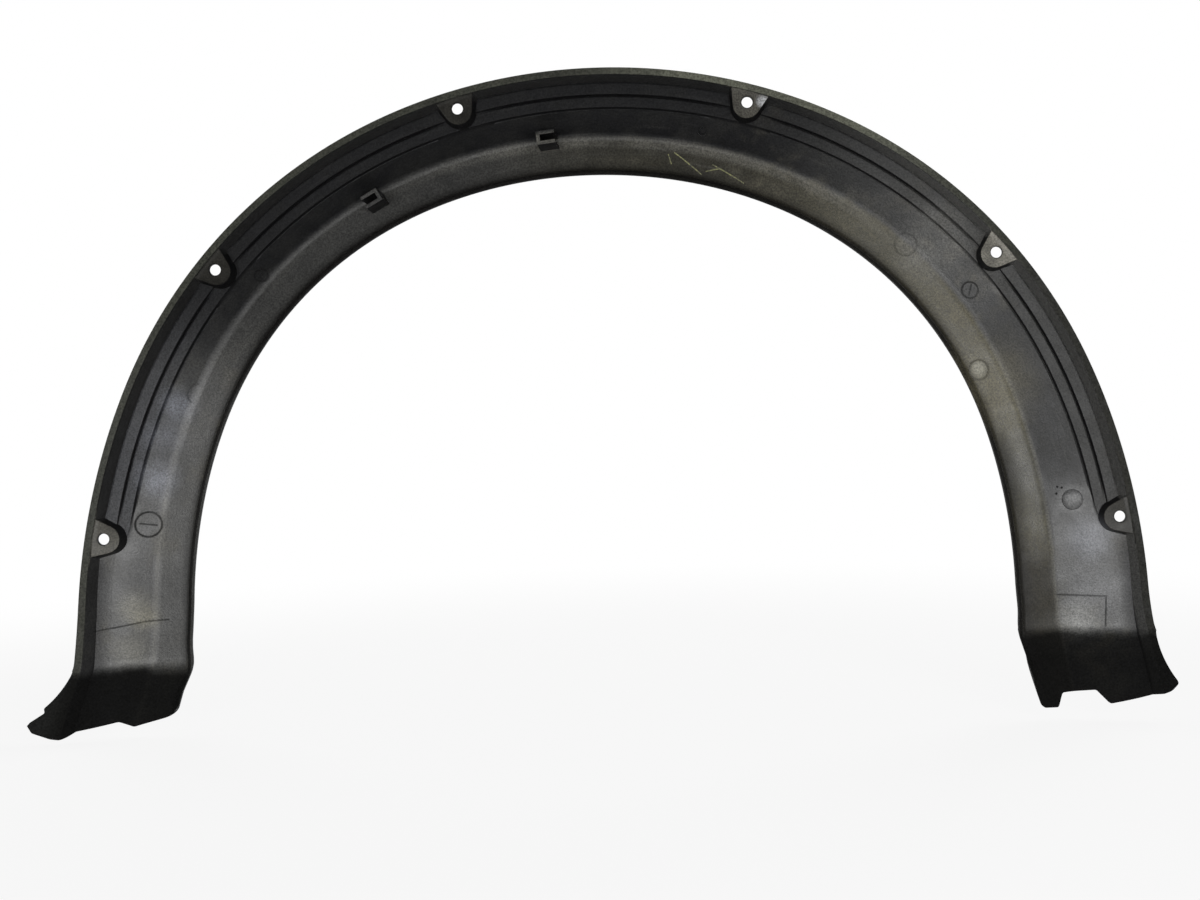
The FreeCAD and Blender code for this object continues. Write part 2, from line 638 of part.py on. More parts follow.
cups = []
boss_face = mix(boss_setback=1)
shares = (0.5, 1.5, 2.5)
names = ("crown", "shoulder", "leg")
for share, name in zip(shares, names):
    turn = share * size("bolt_pitch")
    rim = rim_at(turn)
    edge = {"rim_width": -1, "rim_leg_extra": -leg_share(turn), "boss_edge_gap": -1}
    face = cup_outline(name + "_boss_face", turn, share, boss_face,
                       mix(**rim, **edge), mix(boss_width=1),
                       mix(**rim, boss_tip_inset=-1), mix(boss_tip_radius=1))
    base = cup_outline(name + "_boss_base", turn, share, mix(boss_base_depth=1),
                       mix(**rim, **edge, boss_slope=-1), mix(boss_width=1, boss_draft=2),
                       mix(**rim, boss_tip_inset=-1), mix(boss_tip_radius=1, boss_draft=1))
    cups.append(cup("PartDesign::AdditiveLoft", name + "_boss", face, base, "adds"))
for share, name in zip(shares, names):
    turn = share * size("bolt_pitch")
    rim = rim_at(turn)
    floor = cup_outline(name + "_pocket_floor", turn, share, mix(boss_setback=1, pocket_floor=1),
                        mix(**rim, pocket_overrun=1), mix(pocket_width=1),
                        mix(**rim, boss_tip_inset=-1), mix(boss_tip_radius=1, pocket_wall=-1))
    mouth = cup_outline(name + "_pocket_mouth", turn, share, mix(pocket_mouth_depth=1),
                        mix(**rim, pocket_overrun=1), mix(pocket_width=1, boss_draft=2),
                        mix(**rim, boss_tip_inset=-1), mix(boss_tip_radius=1, pocket_wall=-1, boss_draft=1))
    cups.append(cup("PartDesign::SubtractiveLoft", name + "_pocket", floor, mouth, "cuts"))

centres = new_sketch("bolt_centres", "XZ_Plane", at_depth(boss_face))
centres.setExpression("AttachmentOffset.Base.z", "-(" + boss_face[1] + ")")
for index, share in enumerate(shares):
    turn = share * size("bolt_pitch")
    distance = mix(**rim_at(turn), bolt_inset=-1)
    angle = math.radians(turn)
    spot = (distance[0] * math.sin(angle), distance[0] * math.cos(angle))
    middle = FreeCAD.Vector(spot[0], spot[1], 0)
    round_hole = Part.Circle(middle, FreeCAD.Vector(0, 0, 1), size("hole_diameter") / 2)
    ring = centres.addGeometry(round_hole, False)
    ray = centres.addGeometry(line((0, 0), spot), True)
    centres.addConstraint(Sketcher.Constraint("Coincident", ray, 1, -1, 1))
    centres.addConstraint(Sketcher.Constraint("Coincident", ray, 2, ring, 3))
    dimension(centres, names[index] + "_turn", "Angle", (ray,), bolt_turn(share))
    dimension(centres, names[index] + "_distance", "Distance", (ray,), distance)
    dimension(centres, names[index] + "_diameter", "Diameter", (ring,), mix(hole_diameter=1))
doc.recompute()
holes = body.newObject("PartDesign::Hole", "bolt_holes")
holes.Label = "bolt_holes"
holes.Profile = centres
doc.recompute()
holes.ThreadType = "None"
holes.DepthType = "ThroughAll"
holes.setExpression("Diameter", "sizes.hole_diameter")
finish(holes, "cuts")
cups.append(holes)

pairs = body.newObject("PartDesign::Mirrored", "left_bolt_pockets")
pairs.Label = "left_bolt_pockets"
pairs.Originals = cups
pairs.MirrorPlane = (origin_plane("YZ_Plane"), [""])
body.Tip = pairs
finish(pairs, "changes")


# Bump: a low dome that stands square on the web of the right leg, where the mould was fed.

def bump(name):
    turn = size("bump_angle")
    angle = math.radians(turn)
    bulge = math.sin(2 * angle) ** 2
    leg = leg_share(turn)
    spin = FreeCAD.Rotation(FreeCAD.Vector(1, 0, 0), turn)
    sketch = new_sketch(name + "_profile", "YZ_Plane", FreeCAD.Placement(FreeCAD.Vector(), spin))
    sketch.setExpression("AttachmentOffset.Rotation.Angle", "sizes.bump_angle")
    top_depth = mix(channel_depth=1, terrace_step=2)
    top = mix(arch_radius=1, arch_bulge=bulge, rim_splay=leg, rim_width=-1, rim_leg_extra=-leg,
              channel_run=-1, terrace_width=-2)
    low_depth = mix(crease_depth_crown=math.cos(angle) ** 2, crease_depth_leg=math.sin(angle) ** 2)
    low = mix(arch_radius=1, crease_inset=-1, inner_shift_x=math.sin(angle),
              inner_shift_z=math.cos(angle), inner_bulge=bulge, inner_splay=leg)
    web_start = (low_depth[0], low[0])
    web_end = (top_depth[0], top[0])
    way = unit(web_start, web_end)
    foot_point = (web_start[0] + way[0] * size("bump_distance"), web_start[1] + way[1] * size("bump_distance"))

    def spot(height, radius):
        side = beside(foot_point, way, height)
        return (side[0] + way[0] * radius, side[1] + way[1] * radius)

    root = -size("bump_root")
    radius = size("bump_radius")
    side = size("bump_side")
    height = size("bump_height")
    rise = height - side
    dome = (radius ** 2 + rise ** 2) / (2 * rise)
    corners = [spot(root, 0), spot(root, radius), spot(side, radius), spot(height, 0)]
    sketch.addGeometry([
        line(corners[0], corners[1]),
        line(corners[1], corners[2]),
        arc(spot(height - dome, 0), dome, corners[2], corners[3]),
        line(corners[3], corners[0]),
    ], False)
    axis = sketch.addGeometry(line(foot_point, spot(height, 0)), True)
    web = sketch.addGeometry(line(web_start, web_end), True)
    sketch.addConstraint([
        Sketcher.Constraint("Coincident", 0, 2, 1, 1),
        Sketcher.Constraint("Coincident", 1, 2, 2, 1),
        Sketcher.Constraint("Coincident", 2, 2, 3, 1),
        Sketcher.Constraint("Coincident", 3, 2, 0, 1),
        Sketcher.Constraint("Perpendicular", 3, 0),
        Sketcher.Constraint("Parallel", 1, 3),
        Sketcher.Constraint("PointOnObject", 2, 3, 3),
        Sketcher.Constraint("PointOnObject", axis, 1, 3),
        Sketcher.Constraint("Coincident", axis, 2, 2, 2),
        Sketcher.Constraint("PointOnObject", axis, 1, web),
        Sketcher.Constraint("Perpendicular", axis, web),
    ])
    dimension(sketch, "web_start_depth", "DistanceX", (-1, 1, web, 1), low_depth)
    dimension(sketch, "web_start", "DistanceY", (-1, 1, web, 1), low)
    dimension(sketch, "web_end_depth", "DistanceX", (-1, 1, web, 2), top_depth)
    dimension(sketch, "web_end", "DistanceY", (-1, 1, web, 2), top)
    dimension(sketch, "distance", "Distance", (web, 1, axis, 1), mix(bump_distance=1))
    dimension(sketch, "radius", "Distance", (0,), mix(bump_radius=1))
    dimension(sketch, "height", "Distance", (axis,), mix(bump_height=1))
    dimension(sketch, "side", "Distance", (1,), mix(bump_root=1, bump_side=1))
    dimension(sketch, "root", "Distance", (3,), mix(bump_root=1, bump_height=1))
    doc.recompute()
    if not sketch.FullyConstrained:
        raise RuntimeError(name + " is not fully constrained")
    dome = body.newObject("PartDesign::Revolution", name)
    dome.Label = name
    dome.Profile = sketch
    dome.ReferenceAxis = (sketch, ["Axis0"])
    dome.Angle = 360.0
    body.Tip = dome
    finish(dome, "adds")


bump("bump")

# The frame sits midway between the two crown bolts, on the faces that lie on the car body.
crown_turn = shares[0] * size("bolt_pitch")
crown_distance = mix(**rim_at(crown_turn), bolt_inset=-1)
crown_height = "({}) * cos({} * sizes.bolt_pitch)".format(crown_distance[1], shares[0])
body.setExpression("Placement.Base.y", "-sizes.boss_setback")
body.setExpression("Placement.Base.z", "-" + crown_height)
doc.recompute()
for item in doc.Objects:
    if "Invalid" in item.State or "Error" in item.State:
        raise RuntimeError(item.Name + " is in error")
solid = body.Shape
if solid.isNull() or not solid.isValid() or len(solid.Solids) != 1:
    raise RuntimeError("the flare is not one valid solid")
solid.exportStep("parts/wheel_arch_flare.step")
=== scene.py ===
# %% [markdown]
# # Wheel arch flare
# A wheel arch flare is a trim piece that is bolted round a car's wheel opening. It is one moulded shell of
# black plastic. It is seen here from the side that lies on the car: a flat rim, two stepped terraces,
# six bolt bosses, a sloping web, an inner band with a lip, and two feet that lean in towards the sill.

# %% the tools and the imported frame
import math
import bmesh
import bpy
from mathutils import Matrix, Vector


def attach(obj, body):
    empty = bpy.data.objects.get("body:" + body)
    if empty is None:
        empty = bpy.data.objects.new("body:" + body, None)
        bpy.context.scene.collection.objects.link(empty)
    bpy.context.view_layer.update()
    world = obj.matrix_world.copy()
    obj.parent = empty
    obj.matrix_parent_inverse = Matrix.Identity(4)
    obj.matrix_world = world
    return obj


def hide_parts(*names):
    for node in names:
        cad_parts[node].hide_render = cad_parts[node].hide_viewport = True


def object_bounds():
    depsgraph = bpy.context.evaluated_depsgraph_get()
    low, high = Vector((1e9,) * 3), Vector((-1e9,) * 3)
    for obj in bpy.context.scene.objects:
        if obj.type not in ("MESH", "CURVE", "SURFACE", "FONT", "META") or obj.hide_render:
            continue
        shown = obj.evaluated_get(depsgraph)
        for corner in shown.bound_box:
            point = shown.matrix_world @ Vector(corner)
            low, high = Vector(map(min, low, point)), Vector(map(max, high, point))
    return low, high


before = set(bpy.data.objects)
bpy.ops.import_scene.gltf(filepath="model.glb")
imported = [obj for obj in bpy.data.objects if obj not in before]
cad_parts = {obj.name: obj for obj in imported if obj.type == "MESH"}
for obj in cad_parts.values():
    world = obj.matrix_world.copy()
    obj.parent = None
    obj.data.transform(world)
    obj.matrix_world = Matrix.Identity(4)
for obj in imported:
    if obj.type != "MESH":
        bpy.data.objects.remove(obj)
cad_low, cad_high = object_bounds()
MM = 0.001
print("frame from", [round(n, 3) for n in cad_low], "to", [round(n, 3) for n in cad_high])

# %% [markdown]
# ## Sizes
# All sizes are in millimetres. Angles are turned from the crown, positive to the right. The frame sits
# between the two crown bolts, so the centre of the arch lies below it. The rim stands 1 mm proud of the
# boss faces. The edges of a real flare are drawn as a few smooth curves, so rim, crease and lip are
# formulas of the angle here, and no list of points has to be kept.

# %% sizes
ARCH_RADIUS = 475.2
CREASE_RADIUS = 407.0
LIP_RADIUS = 369.6
CENTRE_DROP = 441.148
RIM_PROUD = 1.0
WALL = 3.0
FLANGE = 2.5
RIM_WIDTH = 6.0
CHANNEL_DEPTH = 11.0
CHANNEL_RUN = 4.5
TERRACE = 11.5
TERRACE_STEP = 1.7
RISER_RUN = 1.2
GROOVE = 1.8
LIP_RISE = 3.0
LIP_DEPTH = 11.0
FOLD_DROP = {-1: 58.0, 1: 43.0}
FOOT_DROP = 66.0
FOOT_REACH = 59.0
TOE_SPREAD = 40.0
BOLT_TURNS = (-82.5, -49.5, -16.5, 16.5, 49.5, 82.5)
BOLT_INSET = 16.5


def smooth_step(value):
    """Ease from 0 to 1."""
    value = min(1.0, max(0.0, value))
    return value * value * (3.0 - 2.0 * value)


def leg_share(turn):
    """How far the outline has splayed into a leg."""
    return 0.55 * (max(0.0, abs(turn) - 66.0) / 24.0) ** 2


def edges_at(turn, leg):
    """Radius of rim, crease and lip, and the depth of the crease."""
    angle = math.radians(turn)
    bulge = math.sin(2 * angle) ** 2
    shift = -9.0 * math.sin(angle) + 14.0 * math.cos(angle) + 7.4 * bulge + 9.5 * leg
    depth = 26.0 + 12.0 * math.cos(angle) ** 2
    return ARCH_RADIUS + 4.7 * bulge + 12.5 * leg, CREASE_RADIUS + shift, LIP_RADIUS + shift, depth


def spot(turn, depth, radius, drop=0.0):
    """A point of the part in metres, from the angle, the depth behind the rim and the radius."""
    angle = math.radians(turn)
    return Vector((radius * math.sin(angle), depth - RIM_PROUD,
                   radius * math.cos(angle) - drop - CENTRE_DROP)) * MM


print("rim radius at the crown", edges_at(0.0, 0.0)[0], "mm")

# %% [markdown]
# ## Wall section
# The wall is 3 mm thick, and its rim a little thinner. From the rim it drops through a steep channel to two
# terraces, crosses the web to the crease and turns back over the band to the lip. A mould needs draft, so the
# risers lean a little, and fine grooves part the terraces. A sheet with a Solidify modifier could give the
# thickness, but both sides are drawn here, because they differ at the ribs. The section has 24 corners, and
# only their places change along the arch.

# %% wall section


def meet(first, first_way, last, last_way):
    """Point where two lines meet."""
    return first + first_way * ((last - first).cross(last_way) / first_way.cross(last_way))


def curve(start, corner, end, share):
    """Point on the soft curve that a corner between two flats is eased into."""
    return start.lerp(corner, share).lerp(corner.lerp(end, share), share)


def rim_width(leg):
    """The flat rim gets a little wider down the legs."""
    return RIM_WIDTH + 0.8 * leg


def wall_corners(rim, crease, lip, depth, leg, ribs, groove=0.0, reach=0.0, spread=0.0):
    """The 24 corners of the wall, each with its depth and its radius; ribs fades the terraces out."""
    step = 0.1 + (TERRACE_STEP - 0.1) * ribs
    level = Vector((0.0, -1.0))
    lean = Vector((0.0, RISER_RUN / 2))
    thick = Vector((WALL, 0.0))
    rim_edge = Vector((reach, rim))
    rim_foot = Vector((reach, rim - rim_width(leg) - spread))
    shelf = Vector((reach + CHANNEL_DEPTH, rim_foot.y - CHANNEL_RUN - 3.0 * leg))
    first_step = shelf + level * TERRACE
    second_shelf = first_step + Vector((step, 0.0))
    second_step = second_shelf + level * TERRACE
    web_top = second_step + Vector((step, 0.0))
    crease_point = Vector((reach + depth, crease))
    lip_point = Vector((reach + depth - LIP_RISE, lip + WALL))
    lip_end = Vector((lip_point.x - LIP_DEPTH, lip_point.y))
    channel_way = (shelf - rim_foot).normalized()
    web_way = (crease_point - web_top).normalized()
    band_way = (lip_point - crease_point).normalized()

    def beside(point, way):
        return point + Vector((-way.y, way.x)) * WALL

    def rib(point, flat_share):
        """A corner of the ribs where there are ribs, else a point of one soft curve into the web."""
        soft = curve(web_top - level * 13.0, web_top, web_top + web_way * 15.0, flat_share)
        return soft.lerp(point, ribs)

    channel_out = beside(rim_foot, channel_way)
    web_out = beside(crease_point, web_way)
    band_out = beside(crease_point, band_way)
    crease_out = meet(web_out, web_way, band_out, band_way)
    lip_out = meet(band_out, band_way, Vector((0.0, lip)), Vector((1.0, 0.0)))
    flange_edge = rim_edge + Vector((FLANGE, 0.0))
    flange_foot = meet(flange_edge, level, channel_out, channel_way)
    shelf_out = meet(shelf + thick, level, channel_out, channel_way)
    web_top_out = meet(second_step + thick, Vector((1.0, 0.0)), web_out, web_way)
    return [
        rim_edge, rim_foot, shelf + Vector((0.6 * groove, 0.0)), shelf + level * 1.6,
        first_step + lean, second_shelf + Vector((groove, -0.4)), second_shelf + level * 2.1,
        rib(second_step + lean, 0.25), rib(web_top + Vector((groove, -0.4)), 0.45),
        rib(web_top + web_way * 2.2, 0.65), rib(web_top + web_way * 9.0, 0.9), crease_point, lip_point,
        lip_end, Vector((lip_end.x, lip)), lip_out, crease_out, web_top_out - lean,
        second_step + thick + lean, second_shelf + thick - lean, first_step + thick + lean, shelf_out,
        flange_foot, flange_edge,
    ]


def rib_share(turn):
    """The terraces fade out below the lowest bolts."""
    return 1.0 - smooth_step((abs(turn) - 80.5) / 4.0)


def arc_row(turn):
    """A section of the arch itself; the grooves stop short of the bolts."""
    leg = leg_share(turn)
    ribs = rib_share(turn)
    clear = smooth_step((min(abs(turn - bolt) for bolt in BOLT_TURNS) - 2.4) / 1.6)
    corners = wall_corners(*edges_at(turn, leg), leg, ribs, GROOVE * ribs * clear)
    return [spot(turn, depth, radius) for depth, radius in corners]


def leg_splay(side, drop):
    """The splay goes on from 0.55 at the end of the arch to 1 at the fold."""
    fold = FOLD_DROP[side]
    slope = 0.0055
    return 0.55 + slope * drop + (0.45 - slope * fold) * (drop / fold) ** 2


def lip_swell(below):
    """The lip juts a little further into the opening round the fold, counted downwards from it."""
    return 3.0 * smooth_step((below + 24.0) / 28.0) * (1.0 - smooth_step((below - 2.0) / 20.0))


def leg_row(side, drop, below=None):
    """A section of the straight leg; below says where the lip's swell is taken, if not at the row itself."""
    leg = leg_splay(side, drop)
    rim, crease, lip, depth = edges_at(90.0 * side, leg)
    swell = lip_swell(drop - FOLD_DROP[side] if below is None else below)
    corners = wall_corners(rim, crease, lip - swell, depth, leg, 0.0)
    return [spot(90.0 * side, depth, radius, drop) for depth, radius in corners]


def foot_row(side, share):
    """A section of the raked foot, from the fold (share 0) to below the sole (share 1)."""
    rim, crease, lip, depth = edges_at(90.0 * side, 1.0)
    below = FOOT_DROP * share
    corners = wall_corners(rim + TOE_SPREAD, crease, lip - lip_swell(below), depth, 1.0, 0.0, 0.0,
                           -FOOT_REACH, TOE_SPREAD)
    sole = [spot(90.0 * side, across, radius, FOLD_DROP[side] + FOOT_DROP) for across, radius in corners]
    fold = leg_row(side, FOLD_DROP[side], below)
    return [high.lerp(low, share) for high, low in zip(fold, sole)]


def fold_rows(side):
    """Sections that round the fold between leg and foot."""
    above = leg_row(side, FOLD_DROP[side] - 8.0)
    corner = leg_row(side, FOLD_DROP[side])
    below = foot_row(side, 0.06)
    rows = []
    for share in (0.0, 0.2, 0.4, 0.6, 0.8, 1.0):
        rows.append([a.lerp(b, share).lerp(b.lerp(c, share), share) for a, b, c in zip(above, corner, below)])
    return rows


def half_rows(side):
    """All sections of one leg and foot, from the arch downwards."""
    fold = FOLD_DROP[side]
    rows = [leg_row(side, (fold - 8.0) * step / 6) for step in range(1, 6)]
    rows += fold_rows(side)
    rows += [foot_row(side, share) for share in (0.15, 0.3, 0.45, 0.6, 0.75, 0.9, 1.0)]
    return rows


path = half_rows(-1)[::-1] + [arc_row(float(turn)) for turn in range(-90, 91)] + half_rows(1)
print("sections along the part", len(path), "with", len(path[0]), "corners each")

# %% [markdown]
# ## Shell
# On the real part molten plastic fills one gap between two mould halves. A curve with a bevel profile could
# sweep one section round the arch, but here the section changes on the way. So one section ring is extruded
# from station to station, and each fresh ring is moved to its own section. Bevels then round the long
# corners, as the mould cutter's radius does.

# %% shell


def next_ring(bm, ring, points):
    """Extrude a ring of edges and move the new corners to the points."""
    edges = [bm.edges.get(pair) for pair in zip(ring, ring[1:] + ring[:1])]
    made = bmesh.ops.extrude_edge_only(bm, edges=edges)["geom"]
    places = {corner: index for index, corner in enumerate(ring)}
    fresh = [None] * len(ring)
    for vert in (item for item in made if isinstance(item, bmesh.types.BMVert)):
        for edge in vert.link_edges:
            index = places.get(edge.other_vert(vert))
            if index is not None:
                fresh[index] = vert
    for vert, point in zip(fresh, points):
        vert.co = point
    return fresh


def once(items):
    """Each item once, in the order in which it first came."""
    return list(dict.fromkeys(items))


def object_from(bm, name):
    """Turn a bmesh into an object in the scene."""
    bmesh.ops.dissolve_degenerate(bm, dist=0.001 * MM, edges=bm.edges)
    bmesh.ops.recalc_face_normals(bm, faces=bm.faces)
    mesh = bpy.data.meshes.new(name)
    bm.to_mesh(mesh)
    bm.free()
    made = bpy.data.objects.new(name, mesh)
    bpy.context.scene.collection.objects.link(made)
    return made


bm = bmesh.new()
ring = [bm.verts.new(point) for point in path[0]]
for start, end in zip(ring, ring[1:] + ring[:1]):
    bm.edges.new((start, end))
rings = [ring]
for points in path[1:]:
    rings.append(next_ring(bm, rings[-1], points))

CREASE_ROUND = 5.0
# Corner of the section, width of its round and number of segments.
ROUNDS = [
    (0, 0.6, 2), (23, 0.6, 2), (1, 0.8, 2), (3, 0.3, 1), (4, 0.4, 2), (6, 0.3, 1), (7, 0.4, 2),
    (11, CREASE_ROUND, 5), (16, 5.5, 5), (12, 6.0, 5), (15, 8.0, 5), (13, 0.9, 2), (14, 0.9, 2),
    (21, 2.0, 3),
]
for corner, width, segments in ROUNDS:
    chain = [bm.edges.get((upper[corner], lower[corner])) for upper, lower in zip(rings, rings[1:])]
    bmesh.ops.bevel(bm, geom=chain, offset=width * MM, offset_type="OFFSET", segments=segments, profile=0.5,
                    affect="EDGES", material=-1, clamp_overlap=False)
open_edges = [edge for edge in bm.edges if edge.is_boundary]
bmesh.ops.holes_fill(bm, edges=open_edges, sides=0)
print("shell with", len(bm.faces), "faces")
flare = object_from(bm, "wheel_arch_flare_visual")

# %% [markdown]
# ## Foot outlines
# The feet end in notched soles that clear the sill and its clips. The real mould has these outlines cut
# into it. Ending every strip of the shell at its own height would leave ragged faces, so a flat outline is
# extruded through each foot and taken away from the shell.

# %% foot outlines


def bend(start, end, radius, bow, count=8):
    """Points between two ends on an arc that bows to one side."""
    way = (end - start).normalized()
    half = (end - start).length / 2
    centre = (start + end) / 2 - Vector((-way.y, way.x)) * bow * math.sqrt(radius ** 2 - half ** 2)
    first = start - centre
    swing = first.angle_signed(end - centre)
    return [centre + Matrix.Rotation(-swing * step / count, 2) @ first for step in range(1, count)]


SMALL_CUT = 1.8
# Radius of the outer sweep and of the inner arc, and how far the first three corners are eased. Each corner
# is counted outwards from the rim or the lip, and downwards from the fold.
FEET = {
    -1: {
        "sweep": 50.0, "arc": 18.0, "soft": 1.2,
        "corners": [("rim", 15.0, 28.3), ("rim", 13.0, 31.8), ("rim", 25.7, 40.4), ("rim", 18.5, 46.8),
                    ("rim", 0.5, 51.6), ("rim", -9.0, 52.6), ("rim", -15.5, 48.2),
                    ("lip", 50.9, 42.6), ("lip", 38.5, 47.7), ("lip", 11.9, 41.0), ("lip", -1.0, 20.0)],
        "arc_at": 9,
    },
    1: {
        "sweep": 62.0, "arc": 5.0, "soft": 3.0,
        "corners": [("rim", 9.0, 41.3), ("rim", 0.5, 47.4), ("rim", -13.8, 51.2), ("lip", 65.9, 58.3),
                    ("lip", 56.9, 48.0), ("lip", 27.9, 50.5), ("lip", 21.9, 61.5), ("lip", 10.4, 61.5),
                    ("lip", 6.4, 56.5), ("lip", -1.0, 19.0)],
        "arc_at": 7,
    },
}


def foot_outline(side):
    """Outline of what is cut away below one foot, as points in the plane of the arch."""
    shape = FEET[side]
    rim, crease, lip, depth = edges_at(90.0 * side, 1.0)
    base = {"rim": rim, "lip": lip}
    fold = FOLD_DROP[side]
    points = [Vector((rim, -fold))]
    points += [Vector((base[edge] + out, -fold - down)) for edge, out, down in shape["corners"]]
    ends = [Vector((lip - 40.0, points[-1].y)), Vector((lip - 40.0, -fold - 110.0)),
            Vector((rim + 90.0, -fold - 110.0)), Vector((rim + 90.0, -fold))]
    outline = [points[0]] + bend(points[0], points[1], shape["sweep"], -1.0)
    for index, (start, end) in enumerate(zip(points[1:], points[2:] + ends[:1])):
        if index == shape["arc_at"]:
            outline += [start] + bend(start, end, shape["arc"], 1.0)
            continue
        cut = shape["soft"] if index < 3 else SMALL_CUT
        while (outline[-1] - start).length < cut + 0.5:
            outline.pop()
        before = start + (outline[-1] - start).normalized() * cut
        after = start + (end - start).normalized() * cut
        outline += [curve(before, start, after, share) for share in (0.0, 0.25, 0.5, 0.75, 1.0)]
    return outline + ends


bm = bmesh.new()
for side in (-1, 1):
    outline = foot_outline(side)
    face = bm.faces.new([bm.verts.new(Vector((side * x, -150.0, z - CENTRE_DROP)) * MM) for x, z in outline])
    made = bmesh.ops.extrude_face_region(bm, geom=[face])["geom"]
    moved = [item for item in made if isinstance(item, bmesh.types.BMVert)]
    bmesh.ops.translate(bm, verts=moved, vec=Vector((0.0, 260.0, 0.0)) * MM)
foot_cutter = object_from(bm, "foot_cutter")
print("foot cutter with", len(foot_cutter.data.polygons), "faces")

# %% [markdown]
# ## Bolt bosses and pockets
# Each bolt sits in a D-shaped cup. From the outside it is a recess for the bolt head, and from the car side
# it is a boss whose flat floor lies on the body. A profile could be extruded and tapered, but every cup is
# convex, so a hull round two rings makes its drafted block at once.

# %% bosses and pockets
BOSS_TOP = 1.0
BOSS_ROOT = 13.6
POCKET_FLOOR = 3.4
POCKET_MOUTH = 18.0
TIP_INSET = 18.5


def cup(bm, turn, levels):
    """Drafted D-shaped block between two levels: depth, side, width, tip and tip radius of each."""
    angle = math.radians(turn)
    out = Vector((math.sin(angle), 0.0, math.cos(angle)))
    along = Vector((math.cos(angle), 0.0, -math.sin(angle)))
    upright = Matrix.Rotation(math.pi / 2, 4, "X")
    verts = []
    for depth, side, width, tip, radius in levels:
        level = Vector((0.0, depth - RIM_PROUD, -CENTRE_DROP))
        place = Matrix.Translation((level + out * tip) * MM) @ upright
        verts += bmesh.ops.create_circle(bm, segments=48, radius=radius * MM, matrix=place)["verts"]
        verts += [bm.verts.new((level + out * side + along * width * half) * MM) for half in (-0.5, 0.5)]
    made = bmesh.ops.convex_hull(bm, input=verts)
    inside = made["geom_interior"] + made["geom_unused"]
    spare = [item for item in inside if isinstance(item, bmesh.types.BMVert)]
    bmesh.ops.delete(bm, geom=once(spare), context="VERTS")
    kept = [vert for vert in verts if vert.is_valid]
    loose = [edge for vert in kept for edge in vert.link_edges if not edge.link_faces]
    bmesh.ops.delete(bm, geom=once(loose), context="EDGES")
    edges = once(edge for vert in kept for edge in vert.link_edges)
    bmesh.ops.dissolve_limit(bm, angle_limit=math.radians(0.6), verts=kept, edges=edges)
    return [vert for vert in kept if vert.is_valid]


def round_top(bm, verts, depth, width):
    """Round the edge of a block's face that lies at a depth."""
    level = (depth - RIM_PROUD) * MM
    top = {vert for vert in verts if abs(vert.co.y - level) < 0.02 * MM}
    edges = [edge for edge in bm.edges if edge.verts[0] in top and edge.verts[1] in top]
    bmesh.ops.bevel(bm, geom=edges, offset=width * MM, offset_type="OFFSET", segments=2, profile=0.5,
                    affect="EDGES", material=-1, clamp_overlap=True)


added = bmesh.new()
pockets = bmesh.new()
for turn in BOLT_TURNS:
    leg = leg_share(turn)
    rim = edges_at(turn, leg)[0]
    foot = rim - rim_width(leg)
    tip = rim - TIP_INSET
    boss = cup(added, turn, [(BOSS_TOP, foot - 0.9, 34.6, tip, 12.5),
                             (BOSS_ROOT, foot - 2.0, 41.0, tip, 14.9)])
    round_top(added, boss, BOSS_TOP, 0.7)
    cup(pockets, turn, [(POCKET_FLOOR, rim + 4.0, 34.0, tip, 9.9),
                        (POCKET_MOUTH, rim + 4.0, 38.6, tip, 12.2)])
print("boss block faces", len(added.faces), "pocket block faces", len(pockets.faces))

# %% bolt holes
HOLE_RADIUS = 5.0
HOLE_LENGTH = 9.0
MOUTH_RADIUS = 6.3
MOUTH_DEPTH = 1.4
MOUTH_MIDDLE = 1.5
holes = bmesh.new()
for turn in BOLT_TURNS:
    rim = edges_at(turn, leg_share(turn))[0]
    middle = spot(turn, MOUTH_MIDDLE, rim - BOLT_INSET)
    place = Matrix.Translation(middle) @ Matrix.Rotation(math.pi / 2, 4, "X")
    made = bmesh.ops.create_cone(holes, cap_ends=True, segments=48, radius1=HOLE_RADIUS * MM,
                                 radius2=MOUTH_RADIUS * MM, depth=MOUTH_DEPTH * MM, matrix=place)["verts"]
    inner = [face for face in once(face for vert in made for face in vert.link_faces)
             if len(face.verts) > 4 and face.calc_center_median().y > middle.y]
    made = bmesh.ops.extrude_face_region(holes, geom=inner)["geom"]
    deeper = [item for item in made if isinstance(item, bmesh.types.BMVert)]
    bmesh.ops.translate(holes, verts=deeper, vec=Vector((0.0, HOLE_LENGTH * MM, 0.0)))
    doubled = [face for face in inner
               if face.is_valid and all(len(edge.link_faces) > 2 for edge in face.edges)]
    bmesh.ops.delete(holes, geom=doubled, context="FACES_ONLY")
print("bolt hole faces", len(holes.faces))

# %% [markdown]
# ## Clip towers, the bump and mould marks
# Two U-shaped towers on the inner band hold clips for the wheel liner. A low round bump on the right leg is
# left where the plastic entered the mould, and low rings show where mould inserts sat. All are solid with the
# shell, so they are built as blocks that sink into the wall and join the same union.

